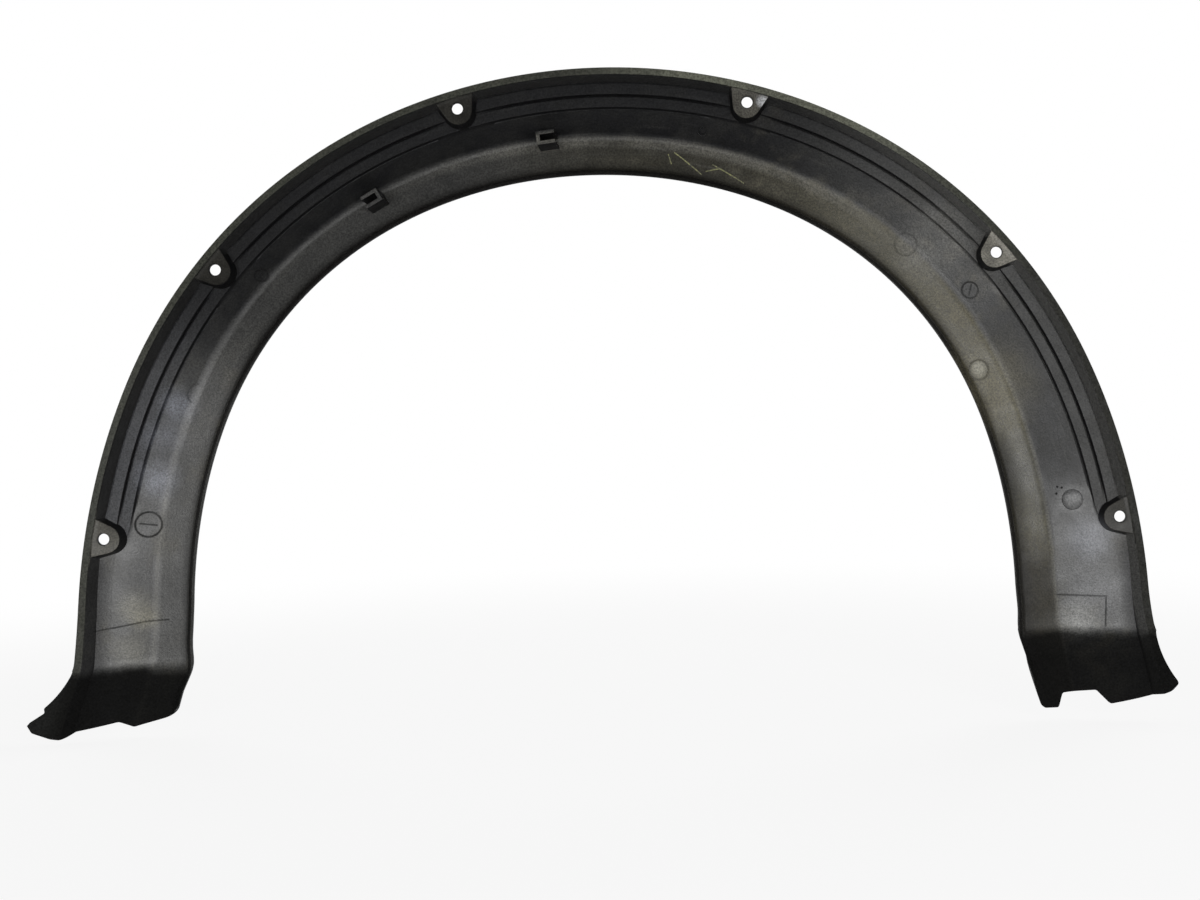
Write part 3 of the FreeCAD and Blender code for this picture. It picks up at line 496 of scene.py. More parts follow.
# %% clip towers
# Angle, distance inwards from the crease, and the way in which the slot opens.
CLIPS = [(-7.2, 4.0, 1.0), (-30.2, 9.0, -1.0)]
CLIP_TOP = 7.0
CLIP_SHAPE = [(-8.5, -6.2), (8.5, -6.2), (8.5, -2.8), (-5.1, -2.8),
              (-5.1, 2.8), (8.5, 2.8), (8.5, 6.2), (-8.5, 6.2)]
for turn, inset, opening in CLIPS:
    rim, crease, lip, depth = edges_at(turn, 0.0)
    angle = math.radians(turn)
    out = Vector((math.sin(angle), 0.0, math.cos(angle)))
    along = Vector((math.cos(angle), 0.0, -math.sin(angle))) * opening
    middle = Vector((0.0, CLIP_TOP - RIM_PROUD, -CENTRE_DROP)) + out * (crease - inset)
    face = added.faces.new([added.verts.new((middle + along * a + out * b) * MM) for a, b in CLIP_SHAPE])
    made = bmesh.ops.extrude_face_region(added, geom=[face])["geom"]
    lower = [item for item in made if isinstance(item, bmesh.types.BMVert)]
    bmesh.ops.translate(added, verts=lower, vec=Vector((0.0, (depth - CLIP_TOP) * MM, 0.0)))
    bmesh.ops.bevel(added, geom=list(face.edges), offset=0.5 * MM, offset_type="OFFSET", segments=2,
                    profile=0.5, affect="EDGES", material=-1, clamp_overlap=True)
print("clip towers", len(CLIPS))

# %% laying flat shapes on the wall


def surface_depth(turn, radius, drop=0.0):
    """Depth of the wall's car side, with the crease eased as its bevel eases it."""
    side = -1 if turn < 0 else 1
    leg = leg_splay(side, drop) if drop else leg_share(turn)
    rim, crease, lip, depth = edges_at(turn, leg)
    chain = wall_corners(rim, crease, lip, depth, leg, rib_share(turn))[3:13]
    close = max(0.0, CREASE_ROUND - abs(radius - crease))
    for high, low in zip(chain, chain[1:]):
        if low.y <= radius <= high.y:
            found = high.x + (low.x - high.x) * (high.y - radius) / (high.y - low.y)
            turned = 0.1 + (depth - chain[6].x) / (chain[6].y - crease)
            return found - close ** 2 / (4 * CREASE_ROUND) * turned
    return chain[0].x


def lay_on(verts, turn, radius):
    """Lay flat shapes (along, outwards, height in mm) on the wall round a point of the arch."""
    for vert in verts:
        along, outwards, height = vert.co
        angle = turn + math.degrees(along / radius)
        vert.co = spot(angle, surface_depth(angle, radius + outwards) - height, radius + outwards)


SUNK = 0.7


def raise_faces(bm, faces, height):
    """Thicken a flat shape from below the wall's surface to a height above it."""
    low = once(vert for face in faces for vert in face.verts)
    bmesh.ops.translate(bm, verts=low, vec=(0.0, 0.0, -SUNK))
    made = bmesh.ops.extrude_face_region(bm, geom=faces)["geom"]
    top = [item for item in made if isinstance(item, bmesh.types.BMVert)]
    bmesh.ops.translate(bm, verts=top, vec=(0.0, 0.0, SUNK + height))
    return low + top


def ring_mark(bm, outer, width, height, half=False):
    """A flat ring, or the half of it that lies outwards."""
    loops = [bmesh.ops.create_circle(bm, segments=48, radius=size)["verts"]
             for size in (outer, outer - width)]
    edges = once(edge for verts in loops for vert in verts for edge in vert.link_edges)
    faces = bmesh.ops.bridge_loops(bm, edges=edges)["faces"]
    if half:
        parts = faces + once(edge for face in faces for edge in face.edges) + loops[0] + loops[1]
        bmesh.ops.bisect_plane(bm, geom=parts, plane_co=(0, 0, 0), plane_no=(0, -1, 0), clear_outer=True)
        faces = once(face for verts in loops for vert in verts if vert.is_valid for face in vert.link_faces)
    return raise_faces(bm, faces, height)


def bar_mark(bm, length, width, height, slant=0.0):
    """A flat bar, turned by its slant."""
    place = Matrix.Rotation(math.radians(slant), 4, "Z") @ Matrix.Diagonal((length / 2, width / 2, 1.0, 1.0))
    verts = bmesh.ops.create_grid(bm, x_segments=8, y_segments=2, size=1.0, matrix=place)["verts"]
    return raise_faces(bm, once(face for vert in verts for face in vert.link_faces), height)


print("wall depth 45 mm inside the rim at the crown", round(surface_depth(0.0, ARCH_RADIUS - 45.0), 2), "mm")

# %% bump and mould rings
BUMP_TURN = 79.8
BUMP_RADIUS = 426.8
BUMP_SIZE = (9.6, 9.6, 2.8, 1.0)
dome_place = spot(BUMP_TURN, surface_depth(BUMP_TURN, BUMP_RADIUS), BUMP_RADIUS)
lean = math.atan2(surface_depth(BUMP_TURN, 424.0) - surface_depth(BUMP_TURN, 430.0), 6.0)
dome = (Matrix.Translation(dome_place) @ Matrix.Rotation(math.radians(BUMP_TURN), 4, "Y")
        @ Matrix.Rotation(math.pi / 2 + lean, 4, "X") @ Matrix.Diagonal(BUMP_SIZE))
bmesh.ops.create_uvsphere(added, u_segments=40, v_segments=20, radius=MM, matrix=dome)

# Angle, radius on the arch, size, whether only half shows, slant of the bar inside and strength of its dark
# line, part grime and part painted shade.
RINGS = [
    (-80.4, 431.0, 12.0, False, 90.0, 0.85),
    (-63.4, 424.0, 10.0, True, None, 0.5),
    (-46.9, 436.0, 6.5, False, 70.0, 0.6),
    (41.2, 417.0, 11.0, False, None, 0.4),
    (50.9, 427.4, 8.2, False, 45.0, 0.75),
    (59.9, 391.5, 9.6, False, None, 0.45),
    (12.0, 431.0, 4.0, False, None, 0.4),
]
for turn, radius, size, half, slant, ring_grime_and_shade in RINGS:
    lay_on(ring_mark(added, size, 1.3, 0.5, half), turn, radius)
    if slant is not None:
        lay_on(bar_mark(added, size * 1.1, 1.1, 0.4, slant), turn, radius)
print("added blocks have", len(added.faces), "faces")

# %% [markdown]
# ## One solid
# The mould makes all of these in one shot. Loose blocks pushed into each other would show seams and hidden
# faces, so they become one closed mesh here: the soles are cut, the blocks are joined on, and the pockets
# and bolt holes are cut last.

# %% one solid
steps = [
    ("trim", "DIFFERENCE", foot_cutter),
    ("join", "UNION", object_from(added, "added_blocks")),
    ("pocket", "DIFFERENCE", object_from(pockets, "pocket_blocks")),
    ("drill", "DIFFERENCE", object_from(holes, "hole_blocks")),
]
for name, operation, tool in steps:
    cut = flare.modifiers.new(name, "BOOLEAN")
    cut.operation = operation
    cut.solver = "EXACT"
    cut.object = tool
solid = bpy.data.meshes.new_from_object(flare.evaluated_get(bpy.context.evaluated_depsgraph_get()))
flare.modifiers.clear()
flare.data = solid
solid.name = "wheel_arch_flare_visual"
for name, operation, tool in steps:
    bpy.data.objects.remove(tool)
solid.shade_smooth()
solid.set_sharp_from_angle(angle=math.radians(38.0))
even = flare.modifiers.new("even_shading", "WEIGHTED_NORMAL")
even.mode = "FACE_AREA"
even.keep_sharp = True
check = bmesh.new()
check.from_mesh(solid)
print("flare with", len(solid.polygons), "faces, volume", round(check.calc_volume() * 1e9), "mm3, open edges",
      sum(not edge.is_manifold for edge in check.edges))
check.free()

# %% [markdown]
# ## Where each point lies on the wall
# Dirt, wear and the painted light and shade follow the form of a part. Painted maps could hold them, but
# each point of the mesh can keep its own distance from the rim, the crease, the lip and the fold, and each
# boss face how pale it has been rubbed. The finish then reads these distances and stays in place if a size
# changes.

# %% distances kept on the mesh
BOSS_REACH = 28.0
RUBBED = {-82.5: 0.50, -49.5: 0.13, -16.5: 0.13, 16.5: 0.40, 49.5: 1.10, 82.5: 0.25}


def wall_place(point):
    """Distances in mm, inwards from the rim, outwards from crease and lip, and down from the fold."""
    x = point.x / MM
    z = point.z / MM + CENTRE_DROP
    side = -1 if x < 0 else 1
    turn = math.degrees(math.atan2(x, max(z, 0.0)))
    distance = math.hypot(x, max(z, 0.0))
    leg = leg_share(turn) if z > 0 else leg_splay(side, min(-z, FOLD_DROP[side]))
    rim, crease, lip, depth = edges_at(turn, leg)
    below = -z - FOLD_DROP[side]
    return rim - distance, distance - crease, distance - lip + lip_swell(below), below


def keep(name, values):
    """Keep one number for each point of the mesh."""
    layer = solid.attributes.new(name, "FLOAT", "POINT")
    layer.data.foreach_set("value", values)


places = [wall_place(vert.co) for vert in solid.vertices]
for column, name in enumerate(("from_rim", "from_crease", "from_lip", "below_fold")):
    keep(name, [place[column] for place in places])
bolts = []
for turn in BOLT_TURNS:
    rim = edges_at(turn, leg_share(turn))[0]
    bolts.append((spot(turn, RIM_PROUD, rim - BOLT_INSET), RUBBED[turn]))
keep("rubbed", [max(tone if (vert.co - bolt).length < BOSS_REACH * MM else 0.0 for bolt, tone in bolts)
                for vert in solid.vertices])
print("kept on the mesh", [layer.name for layer in solid.attributes if layer.data_type == "FLOAT"])

# %% [markdown]
# ## Black plastic
# The plastic is a dark charcoal with a fine moulded grain. On this side it has never been washed: the inner
# band is olive and dusty, and the boss faces are rubbed pale by the car body. Light and shade are painted in
# too: paler legs, highlights on the crease and the legs, and dark steep walls, terraces, lip and feet. The
# outside is clean. One flat colour would look like a toy, so the colour is laid on in layers, each with a
# mask that says where it lies.

# %% node helpers


def add(tree, kind, inputs=None, **settings):
    """Add a node; inputs are values or the sockets that feed it."""
    made = tree.nodes.new("ShaderNode" + kind)
    for name, value in settings.items():
        setattr(made, name, value)
    for name, value in (inputs or {}).items():
        if isinstance(value, bpy.types.NodeSocket):
            tree.links.new(value, made.inputs[name])
        else:
            made.inputs[name].default_value = value
    return made


def math_node(tree, operation, first, second=0.0):
    return add(tree, "Math", {0: first, 1: second}, operation=operation).outputs[0]


def ramp(tree, value, low, high, bottom=0.0, top=1.0):
    """Smooth change from bottom to top as the value goes from low to high."""
    inputs = {"Value": value, "From Min": low, "From Max": high, "To Min": bottom, "To Max": top}
    return add(tree, "MapRange", inputs, interpolation_type="SMOOTHSTEP").outputs["Result"]


def blend(tree, share, first, second, kind="MIX"):
    inputs = {"Factor": share, 6: first, 7: second}
    return add(tree, "Mix", inputs, data_type="RGBA", blend_type=kind).outputs[2]


def noise(tree, vector, scale, detail=3.0, rough=0.55):
    inputs = {"Vector": vector, "Scale": scale, "Detail": detail, "Roughness": rough}
    return add(tree, "TexNoise", inputs).outputs[0]


print("node helpers", [helper.__name__ for helper in (add, math_node, ramp, blend, noise)])

# %% where a point of the plastic lies
plastic = bpy.data.materials.new("flare_plastic")
plastic.use_nodes = True
tree = plastic.node_tree
tree.nodes.clear()
here = add(tree, "TexCoord").outputs["Object"]
parts = add(tree, "SeparateXYZ", {0: here}).outputs
x, y, z = parts["X"], parts["Y"], math_node(tree, "ADD", parts["Z"], CENTRE_DROP * MM)
radius = add(tree, "VectorMath", {0: add(tree, "CombineXYZ", {"X": x, "Z": z}).outputs[0]},
             operation="LENGTH").outputs["Value"]
FLAT = Vector((1.0, 0.0, 1.0))
flat_here = add(tree, "VectorMath", {0: here, 1: FLAT}, operation="MULTIPLY").outputs[0]
turn = math_node(tree, "ARCTAN2", x, z)
run = math_node(tree, "MULTIPLY", turn, 0.43)
polar = add(tree, "CombineXYZ", {"X": run, "Y": radius, "Z": y}).outputs[0]
normal = add(tree, "SeparateXYZ", {0: add(tree, "NewGeometry").outputs["Normal"]}).outputs
facing = math_node(tree, "ABSOLUTE", normal["Y"])

from_rim, from_crease, from_lip, below_fold, rubbed = [
    add(tree, "Attribute", attribute_name=name).outputs["Fac"]
    for name in ("from_rim", "from_crease", "from_lip", "below_fold", "rubbed")]
print("place nodes", len(tree.nodes))

# %% clouds, grain and masks


def times(*values):
    """Product of several masks."""
    result = values[0]
    for value in values[1:]:
        result = math_node(tree, "MULTIPLY", result, value)
    return result


cloud = noise(tree, here, 11.0, 4.0)
mottle = noise(tree, here, 52.0, 5.0)
speck = noise(tree, here, 620.0, 2.0, 0.7)
streak_place = add(tree, "VectorMath", {0: polar, 1: (14.0, 210.0, 60.0)}, operation="MULTIPLY").outputs[0]
streak = noise(tree, streak_place, 1.0, 4.0)
swirl = noise(tree, here, 27.0, 3.0, 0.6)
around = math_node(tree, "ABSOLUTE", turn)


def on_wall(turn, radius, drop=0.0):
    """A point on the car side of the wall."""
    return spot(turn, surface_depth(turn, radius, drop), radius, drop)


def near(point, inner, outer):
    """1 within an inner distance of a point, fading to 0 at an outer one."""
    away = add(tree, "VectorMath", {0: here, 1: point}, operation="DISTANCE").outputs["Value"]
    return ramp(tree, away, outer * MM, inner * MM)


def circle(point, size, width):
    """A thin line round a point."""
    away = add(tree, "VectorMath", {0: here, 1: point}, operation="DISTANCE").outputs["Value"]
    off = math_node(tree, "ABSOLUTE", math_node(tree, "SUBTRACT", away, size * MM))
    return ramp(tree, off, width * MM, 0.2 * width * MM)


def line(start, end, width):
    """A thin line between two points, as seen square on."""
    start = start * FLAT
    way = end * FLAT - start
    step = add(tree, "VectorMath", {0: flat_here, 1: start}, operation="SUBTRACT").outputs[0]
    scaled = way / way.length_squared
    share = add(tree, "VectorMath", {0: step, 1: scaled}, operation="DOT_PRODUCT").outputs["Value"]
    share = add(tree, "Clamp", {"Value": share}).outputs[0]
    foot = add(tree, "VectorMath", {0: way, "Scale": share}, operation="SCALE").outputs[0]
    away = add(tree, "VectorMath", {0: step, 1: foot}, operation="DISTANCE").outputs["Value"]
    return ramp(tree, away, width * MM, 0.2 * width * MM)


def either(masks):
    """The strongest of several masks."""
    result = masks[0]
    for mask in masks[1:]:
        result = math_node(tree, "MAXIMUM", result, mask)
    return result


print("with clouds and grain", len(tree.nodes), "nodes")

# %% zones of the wall
left_leg = ramp(tree, turn, -0.85, -1.28)
right_leg = ramp(tree, turn, 1.28, 1.46)
legs = either([left_leg, right_leg])
right = ramp(tree, turn, 0.26, 0.74)
dip = times(ramp(tree, turn, 0.86, 1.02), ramp(tree, turn, 1.42, 1.30))
band = ramp(tree, from_crease, 2.0, -3.0)
web = times(ramp(tree, from_crease, -2.0, 2.0), ramp(tree, from_rim, 32.0, 37.0))
rib_zone = times(ramp(tree, from_rim, 9.0, 11.0), ramp(tree, from_rim, 36.0, 33.0),
                 ramp(tree, around, 1.47, 1.41))
low_band = times(band, ramp(tree, turn, 1.42, 1.56))
print("with zones", len(tree.nodes), "nodes")

# %% [markdown]
# ### Painted light, olive tint and dust
# A painted light makes the legs and the right side paler, and less so the web low on the right. An olive
# tint lies on the band, and pale dust has settled in patches. Each layer is broken up by its own clouds,
# because dirt is never even.

# %% painted light, olive tint and dust
colour = blend(tree, ramp(tree, mottle, 0.35, 0.68), (0.0078, 0.0080, 0.0086, 1), (0.0135, 0.0135, 0.0130, 1))
# Painted light: the legs and the right side are painted paler, broken up by clouds.
painted_light = either([legs, times(right, 0.74)])
painted_light = times(painted_light, ramp(tree, cloud, 0.30, 0.62, 0.5, 1.0), ramp(tree, times(dip, web), 0.0, 1.0, 0.58, 0.26))
colour = blend(tree, painted_light, colour, (0.063, 0.063, 0.061, 1))
olive = times(band, ramp(tree, cloud, 0.28, 0.62, 0.40, 1.0), ramp(tree, painted_light, 0.0, 0.4, 0.45, 0.75))
olive_tone = blend(tree, ramp(tree, turn, -0.35, 0.1),
                   (0.0430, 0.0425, 0.0395, 1), (0.0420, 0.0385, 0.0255, 1))
colour = blend(tree, olive, colour, olive_tone)
colour = blend(tree, times(band, right, 0.9), colour, (1.06, 1.02, 0.78, 1), "MULTIPLY")
dust = times(ramp(tree, cloud, 0.47, 0.72), ramp(tree, mottle, 0.40, 0.66),
             either([legs, ramp(tree, turn, -0.2, 0.5, 0.0, 0.6)]))
colour = blend(tree, times(dust, 0.5), colour, (0.125, 0.112, 0.080, 1))
colour = blend(tree, ramp(tree, streak, 0.56, 0.78, 0.0, 0.25), colour, (0.066, 0.066, 0.062, 1))
print("with film and dust", len(tree.nodes), "nodes")

# %% [markdown]
# ### Edges, steps and steep walls
# The crease carries a painted highlight and the flat strip of the rim is paler. Painted shade darkens the
# terraces, the low legs beside the channel, the lip and its end, and the steep walls, and a bluish painted
# highlight lies on the terraces of the legs. The band is darker low on the right leg. The masks read the
# distance from the crease, the lip or the rim.

# %% edges, steps and steep walls
crease_line = ramp(tree, math_node(tree, "ABSOLUTE", math_node(tree, "ADD", from_crease, 1.0)), 6.0, 1.0)
low_sides = either([ramp(tree, turn, -1.10, -1.30), ramp(tree, turn, 0.88, 1.05)])
thin_crease_highlight = times(ramp(tree, math_node(tree, "ABSOLUTE", from_crease), 2.6, 0.5), low_sides)
wide_crease_highlight = times(ramp(tree, math_node(tree, "ABSOLUTE", math_node(tree, "ADD", from_crease, 5.5)), 7.5, 1.0),
                  ramp(tree, turn, -0.55, -0.1, 0.12, 1.0), ramp(tree, turn, 0.75, 0.40, 0.25, 1.0),
                  ramp(tree, around, 1.0, 0.7))
# Painted highlight along the crease: thin on the low sides, wide round the crown.
edge = times(either([thin_crease_highlight, wide_crease_highlight]), ramp(tree, swirl, 0.3, 0.6, 0.35, 0.8))
colour = blend(tree, times(edge, 0.6), colour, (0.092, 0.089, 0.078, 1))
# The band is painted darker low on the right leg.
colour = blend(tree, times(low_band, 0.85), colour, (0.017, 0.0155, 0.0125, 1))
# Painted shade on the low legs beside the channel.
shade_beside_rim = times(ramp(tree, from_rim, 27.0, 11.0), ramp(tree, around, 1.45, 1.51))
colour = blend(tree, times(shade_beside_rim, 0.7), colour, (0.020, 0.020, 0.021, 1))
# Painted shade darkens the terraces, less on the right, with a bluish painted highlight on the legs.
rib_light_and_shade = blend(tree, legs, (0.0060, 0.0061, 0.0066, 1), (0.032, 0.033, 0.037, 1))
rib_light_and_shade = blend(tree, right, rib_light_and_shade, (0.022, 0.022, 0.021, 1))
colour = blend(tree, times(rib_zone, 0.7), colour, rib_light_and_shade)
lip_shade = times(ramp(tree, from_lip, 17.0, 3.0), ramp(tree, legs, 0.0, 1.0, 0.78, 0.62))
low_lip = times(ramp(tree, from_lip, 26.0, 5.0, 0.0, 0.7), ramp(tree, turn, 1.10, 1.28))
lip_shade = either([lip_shade, low_lip])
colour = blend(tree, lip_shade, colour, (0.0060, 0.0056, 0.0052, 1))
# Painted shade on the end face of the lip.
lip_end = ramp(tree, from_lip, 3.8, 2.9)
colour = blend(tree, times(lip_end, 0.85), colour, (0.0045, 0.0043, 0.0040, 1))
rim_strip = times(ramp(tree, from_rim, 8.0, 6.4), ramp(tree, y, 0.0012, 0.0004))
strip_tone = blend(tree, times(ramp(tree, turn, -0.05, 0.15), ramp(tree, turn, 0.75, 0.5)),
                   (0.034, 0.035, 0.028, 1), (0.078, 0.080, 0.062, 1))
strip_tone = blend(tree, ramp(tree, turn, 0.75, 1.0), strip_tone, (0.018, 0.0178, 0.0150, 1))
colour = blend(tree, times(rim_strip, ramp(tree, swirl, 0.28, 0.6, 0.5, 0.9)), colour, strip_tone)
# Painted shade on walls that turn away from the front: darkest on narrow walls, lighter in the channel and at
# the lip, and lighter again on the right and low on the left leg.
lighter = either([right, times(left_leg, ramp(tree, from_lip, 14.0, 12.0))])
channel_shade = blend(tree, lighter, (0.0120, 0.0120, 0.0118, 1), (0.0480, 0.0475, 0.0450, 1))
wide_steep = either([ramp(tree, from_rim, 14.0, 12.0), ramp(tree, from_lip, 12.0, 9.0)])
steep_shade = blend(tree, wide_steep, (0.0045, 0.0045, 0.0047, 1), channel_shade)
colour = blend(tree, ramp(tree, facing, 0.90, 0.40), colour, steep_shade)
print("with edges and steps", len(tree.nodes), "nodes")

# %% [markdown]
# ### Stains, painted highlights, rings and scribed lines
# Pale smears lie on the legs and the right side, among painted highlights. Each mould ring has a dark line,
# part grime and part painted shade, and a few thin lines are scribed in the legs. Distances from a point or a
# line place each of them on the wall.

# %% stains, rings and scribed lines
# Angle, radius on the arch, drop down the leg, inner and outer reach, strength and tone.
MARKED = [
    # Bluish painted highlights on the left leg and on the right leg.
    (-74.6, 431.0, 0.0, 3.0, 26.0, 0.65, (0.165, 0.173, 0.200)),
    (-65.5, 435.0, 0.0, 2.0, 24.0, 0.60, (0.135, 0.142, 0.165)),
    (-70.0, 436.0, 0.0, 2.0, 26.0, 0.40, (0.120, 0.126, 0.148)),
    (84.9, 436.0, 0.0, 4.0, 30.0, 0.50, (0.170, 0.176, 0.195)),
    # Painted highlight on the bump.
    (BUMP_TURN, BUMP_RADIUS, 0.0, 5.0, 17.0, 0.45, (0.150, 0.150, 0.150)),
    # Stains round the ring on the right band.
    (59.9, 391.5, 0.0, 3.0, 10.0, 0.75, (0.190, 0.185, 0.150)),
    (62.0, 392.0, 0.0, 10.0, 60.0, 0.35, (0.105, 0.094, 0.058)),
    # Pale yellowish patches down the left leg.
    (-90.0, 436.0, 4.0, 1.0, 24.0, 0.45, (0.165, 0.155, 0.115)),
    (-90.0, 430.0, 14.0, 1.0, 18.0, 0.45, (0.165, 0.152, 0.105)),
    (-90.0, 440.0, 44.0, 2.0, 26.0, 0.40, (0.150, 0.145, 0.120)),
    # Painted highlights near the right fold and below the right boss.
    (90.0, 424.0, 34.0, 3.0, 26.0, 0.65, (0.200, 0.200, 0.190)),
    (90.0, 438.0, 6.0, 4.0, 36.0, 0.35, (0.150, 0.152, 0.160)),
    # A pale patch on the right web.
    (43.5, 433.0, 0.0, 12.0, 46.0, 0.55, (0.105, 0.104, 0.098)),
]
broken = ramp(tree, swirl, 0.25, 0.65, 0.4, 1.1)
for angle, distance, drop, inner, outer, strength, tone in MARKED:
    stain_and_highlight = times(near(on_wall(angle, distance, drop), inner, outer), broken, strength)
    colour = blend(tree, stain_and_highlight, colour, tone + (1.0,))
outside = ramp(tree, from_crease, -1.0, 1.5)
thin_lines = []
# Each ring gets a dark line, part grime and part painted shade.
for angle, distance, size, half, slant, ring_grime_and_shade in RINGS:
    mark = times(circle(on_wall(angle, distance), size - 0.6, 1.5), ring_grime_and_shade)
    thin_lines.append(times(mark, outside) if half else mark)
# Both ends of each line, as angle, radius on the arch and drop down the leg.
LINES = [
    ((-90.0, 472.0, 23.5), (-90.0, 452.0, 20.5)), ((-90.0, 452.0, 20.5), (-90.0, 431.0, 17.0)),
    ((-90.0, 431.0, 17.0), (-90.0, 410.0, 16.0)), ((90.0, 405.0, 11.5), (90.0, 447.0, 12.5)),
    ((90.0, 447.0, 12.5), (90.0, 446.0, 40.0)),
    ((-80.4, 424.5, 0.0), (-80.4, 437.5, 0.0)), ((50.5, 431.0, 0.0), (51.3, 424.0, 0.0)),
]
thin_lines += [times(line(on_wall(*start), on_wall(*end), 1.3), 0.65) for start, end in LINES]
PITS = [(78.1, 420.0), (78.7, 414.5), (77.9, 416.5)]
thin_lines += [near(on_wall(angle, distance), 0.6, 1.6) for angle, distance in PITS]
scribed_and_ring_shade = times(either(thin_lines), ramp(tree, swirl, 0.25, 0.6, 0.45, 0.9))
colour = blend(tree, scribed_and_ring_shade, colour, (0.0050, 0.0050, 0.0050, 1))
print("with stains and lines", len(tree.nodes), "nodes")

# %% [markdown]
# ### Feet, boss faces and the outside
# The feet are tilted up away from the low light, and painted shade makes them the darkest, a little less at
# the left toe. The boss faces have been rubbed by the car body, some much more than others. The side that
# faces away from the car has none of this dirt or painted light and shade.

# %% feet, boss faces and the outside
foot_zone = ramp(tree, math_node(tree, "ADD", below_fold, ramp(tree, swirl, 0.3, 0.7, -3.0, 3.0)), -4.0, 7.0)
toe = times(ramp(tree, from_rim, 8.0, -14.0), left_leg)
foot_shade = blend(tree, toe, (0.0036, 0.0036, 0.0035, 1), (0.0110, 0.0112, 0.0108, 1))
foot_cover = math_node(tree, "SUBTRACT", 0.92, times(right_leg, ramp(tree, below_fold, 26.0, 4.0, 0.0, 0.10)))
# Painted shade on the feet, a little lighter at the left toe and just below the right fold.
colour = blend(tree, times(foot_zone, foot_cover), colour, foot_shade)
boss_face = times(ramp(tree, y, 0.0007, 0.0002), ramp(tree, from_rim, 6.2, 6.8),
                  ramp(tree, rubbed, 0.05, 0.10))
worn = times(rubbed, ramp(tree, swirl, 0.3, 0.65, 0.6, 1.25))
chalky = add(tree, "VectorMath", {0: (0.108, 0.103, 0.088), "Scale": worn}, operation="SCALE").outputs[0]
colour = blend(tree, boss_face, colour, chalky)
scuff = times(boss_face, near(spot(18.2, 1.0, 464.5), 2.0, 8.0), ramp(tree, swirl, 0.3, 0.6, 0.5, 1.0))
colour = blend(tree, scuff, colour, (0.260, 0.265, 0.270, 1))
car_side = ramp(tree, normal["Y"], 0.10, -0.02)
clean = blend(tree, ramp(tree, mottle, 0.35, 0.68), (0.0215, 0.0215, 0.0222, 1), (0.0300, 0.0300, 0.0308, 1))
colour = blend(tree, car_side, clean, colour)
grain = ramp(tree, speck, 0.25, 0.75, 0.52, 1.48)
grain_tone = add(tree, "CombineXYZ", {0: grain, 1: grain, 2: grain}).outputs[0]
colour = blend(tree, 1.0, colour, grain_tone, "MULTIPLY")
print("with feet, bosses and outside", len(tree.nodes), "nodes")

# %% [markdown]
# ### Shine and grain
# Fresh plastic has a soft shine. It is set stronger on the legs and the right side, and painted shade, dark
# lines and wear take it away. The fine grain of the mould and the slow waves of a cooled moulding are too
# small to model, so two bumps give them.

# %% shine and grain
shine = ramp(tree, either([legs, times(right, 0.8)]), 0.0, 0.8, 0.16, 0.5)
dull = either([
    times(rim_strip, ramp(tree, right, 0.0, 1.0, 0.75, 0.92)), times(lip_end, 0.9), times(rib_zone, 0.5),
    times(lip_shade, 0.8), times(foot_zone, 0.8), times(low_band, 0.5), scribed_and_ring_shade, times(dip, web, 0.4),
    times(shade_beside_rim, 0.45), times(crease_line, right, 0.45), times(crease_line, left_leg, 0.12)])
shine = times(shine, math_node(tree, "SUBTRACT", 1.0, dull), car_side)
shine = math_node(tree, "ADD", shine, ramp(tree, car_side, 1.0, 0.0, 0.0, 0.45))
rough = ramp(tree, mottle, 0.3, 0.7, 0.37, 0.48)
for cover in (times(dust, 0.14), times(boss_face, 0.18), times(dull, car_side, 0.20)):
    rough = math_node(tree, "ADD", rough, cover)
fine = add(tree, "Bump", {"Strength": 0.30, "Distance": 0.0007, "Height": speck})
waves = add(tree, "Bump", {"Strength": 0.30, "Distance": 0.006, "Height": cloud, "Normal": fine.outputs[0]})
shader = add(tree, "BsdfPrincipled", {
    "Base Color": colour, "Roughness": rough, "Specular IOR Level": shine, "IOR": 1.46,
    "Normal": waves.outputs[0]})
tree.links.new(shader.outputs[0], add(tree, "OutputMaterial").inputs["Surface"])
solid.materials.clear()
solid.materials.append(plastic)
print("plastic has", len(tree.nodes), "nodes")

# %% [markdown]
# ## Chalk strokes
# The band carries a few quick strokes of yellow chalk. They lie on the plastic as thin crumbs of wax. A mask
# in the plastic could draw them, but chalk has its own dry finish, so they are thin raised bars that follow
# the band, broken up by their own colour.

# %% chalk strokes
# Angle, radius on the arch, length and slant.
STROKES = [
    (8.4, 402.5, 10.0, -66.0),
    (10.9, 401.0, 33.0, -30.0),
    (14.3, 399.5, 14.0, 24.0),
    (16.4, 399.5, 34.0, -16.0),
]
bm = bmesh.new()
for turn, radius, length, slant in STROKES:
    lay_on(bar_mark(bm, length, 1.0, 0.10, slant), turn, radius)
chalk = object_from(bm, "chalk_strokes")
wax = bpy.data.materials.new("yellow_chalk")
wax.use_nodes = True
tree = wax.node_tree
tree.nodes.clear()
here = add(tree, "TexCoord").outputs["Object"]
crumbs = noise(tree, here, 420.0, 3.0, 0.7)
thin = noise(tree, here, 60.0, 2.0)
cover = math_node(tree, "MULTIPLY", ramp(tree, crumbs, 0.34, 0.60), ramp(tree, thin, 0.30, 0.60, 0.35, 1.0))
tint = blend(tree, cover, (0.030, 0.028, 0.020, 1), (0.170, 0.172, 0.072, 1))
grain = add(tree, "Bump", {"Strength": 0.4, "Distance": 0.0005, "Height": crumbs})
dry = ramp(tree, crumbs, 0.3, 0.7, 0.62, 0.85)
shader = add(tree, "BsdfPrincipled", {"Base Color": tint, "Roughness": dry, "Normal": grain.outputs[0]})
tree.links.new(shader.outputs[0], add(tree, "OutputMaterial").inputs["Surface"])
chalk.data.materials.append(wax)
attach(chalk, "root")
print("chalk strokes with", len(chalk.data.polygons), "faces")

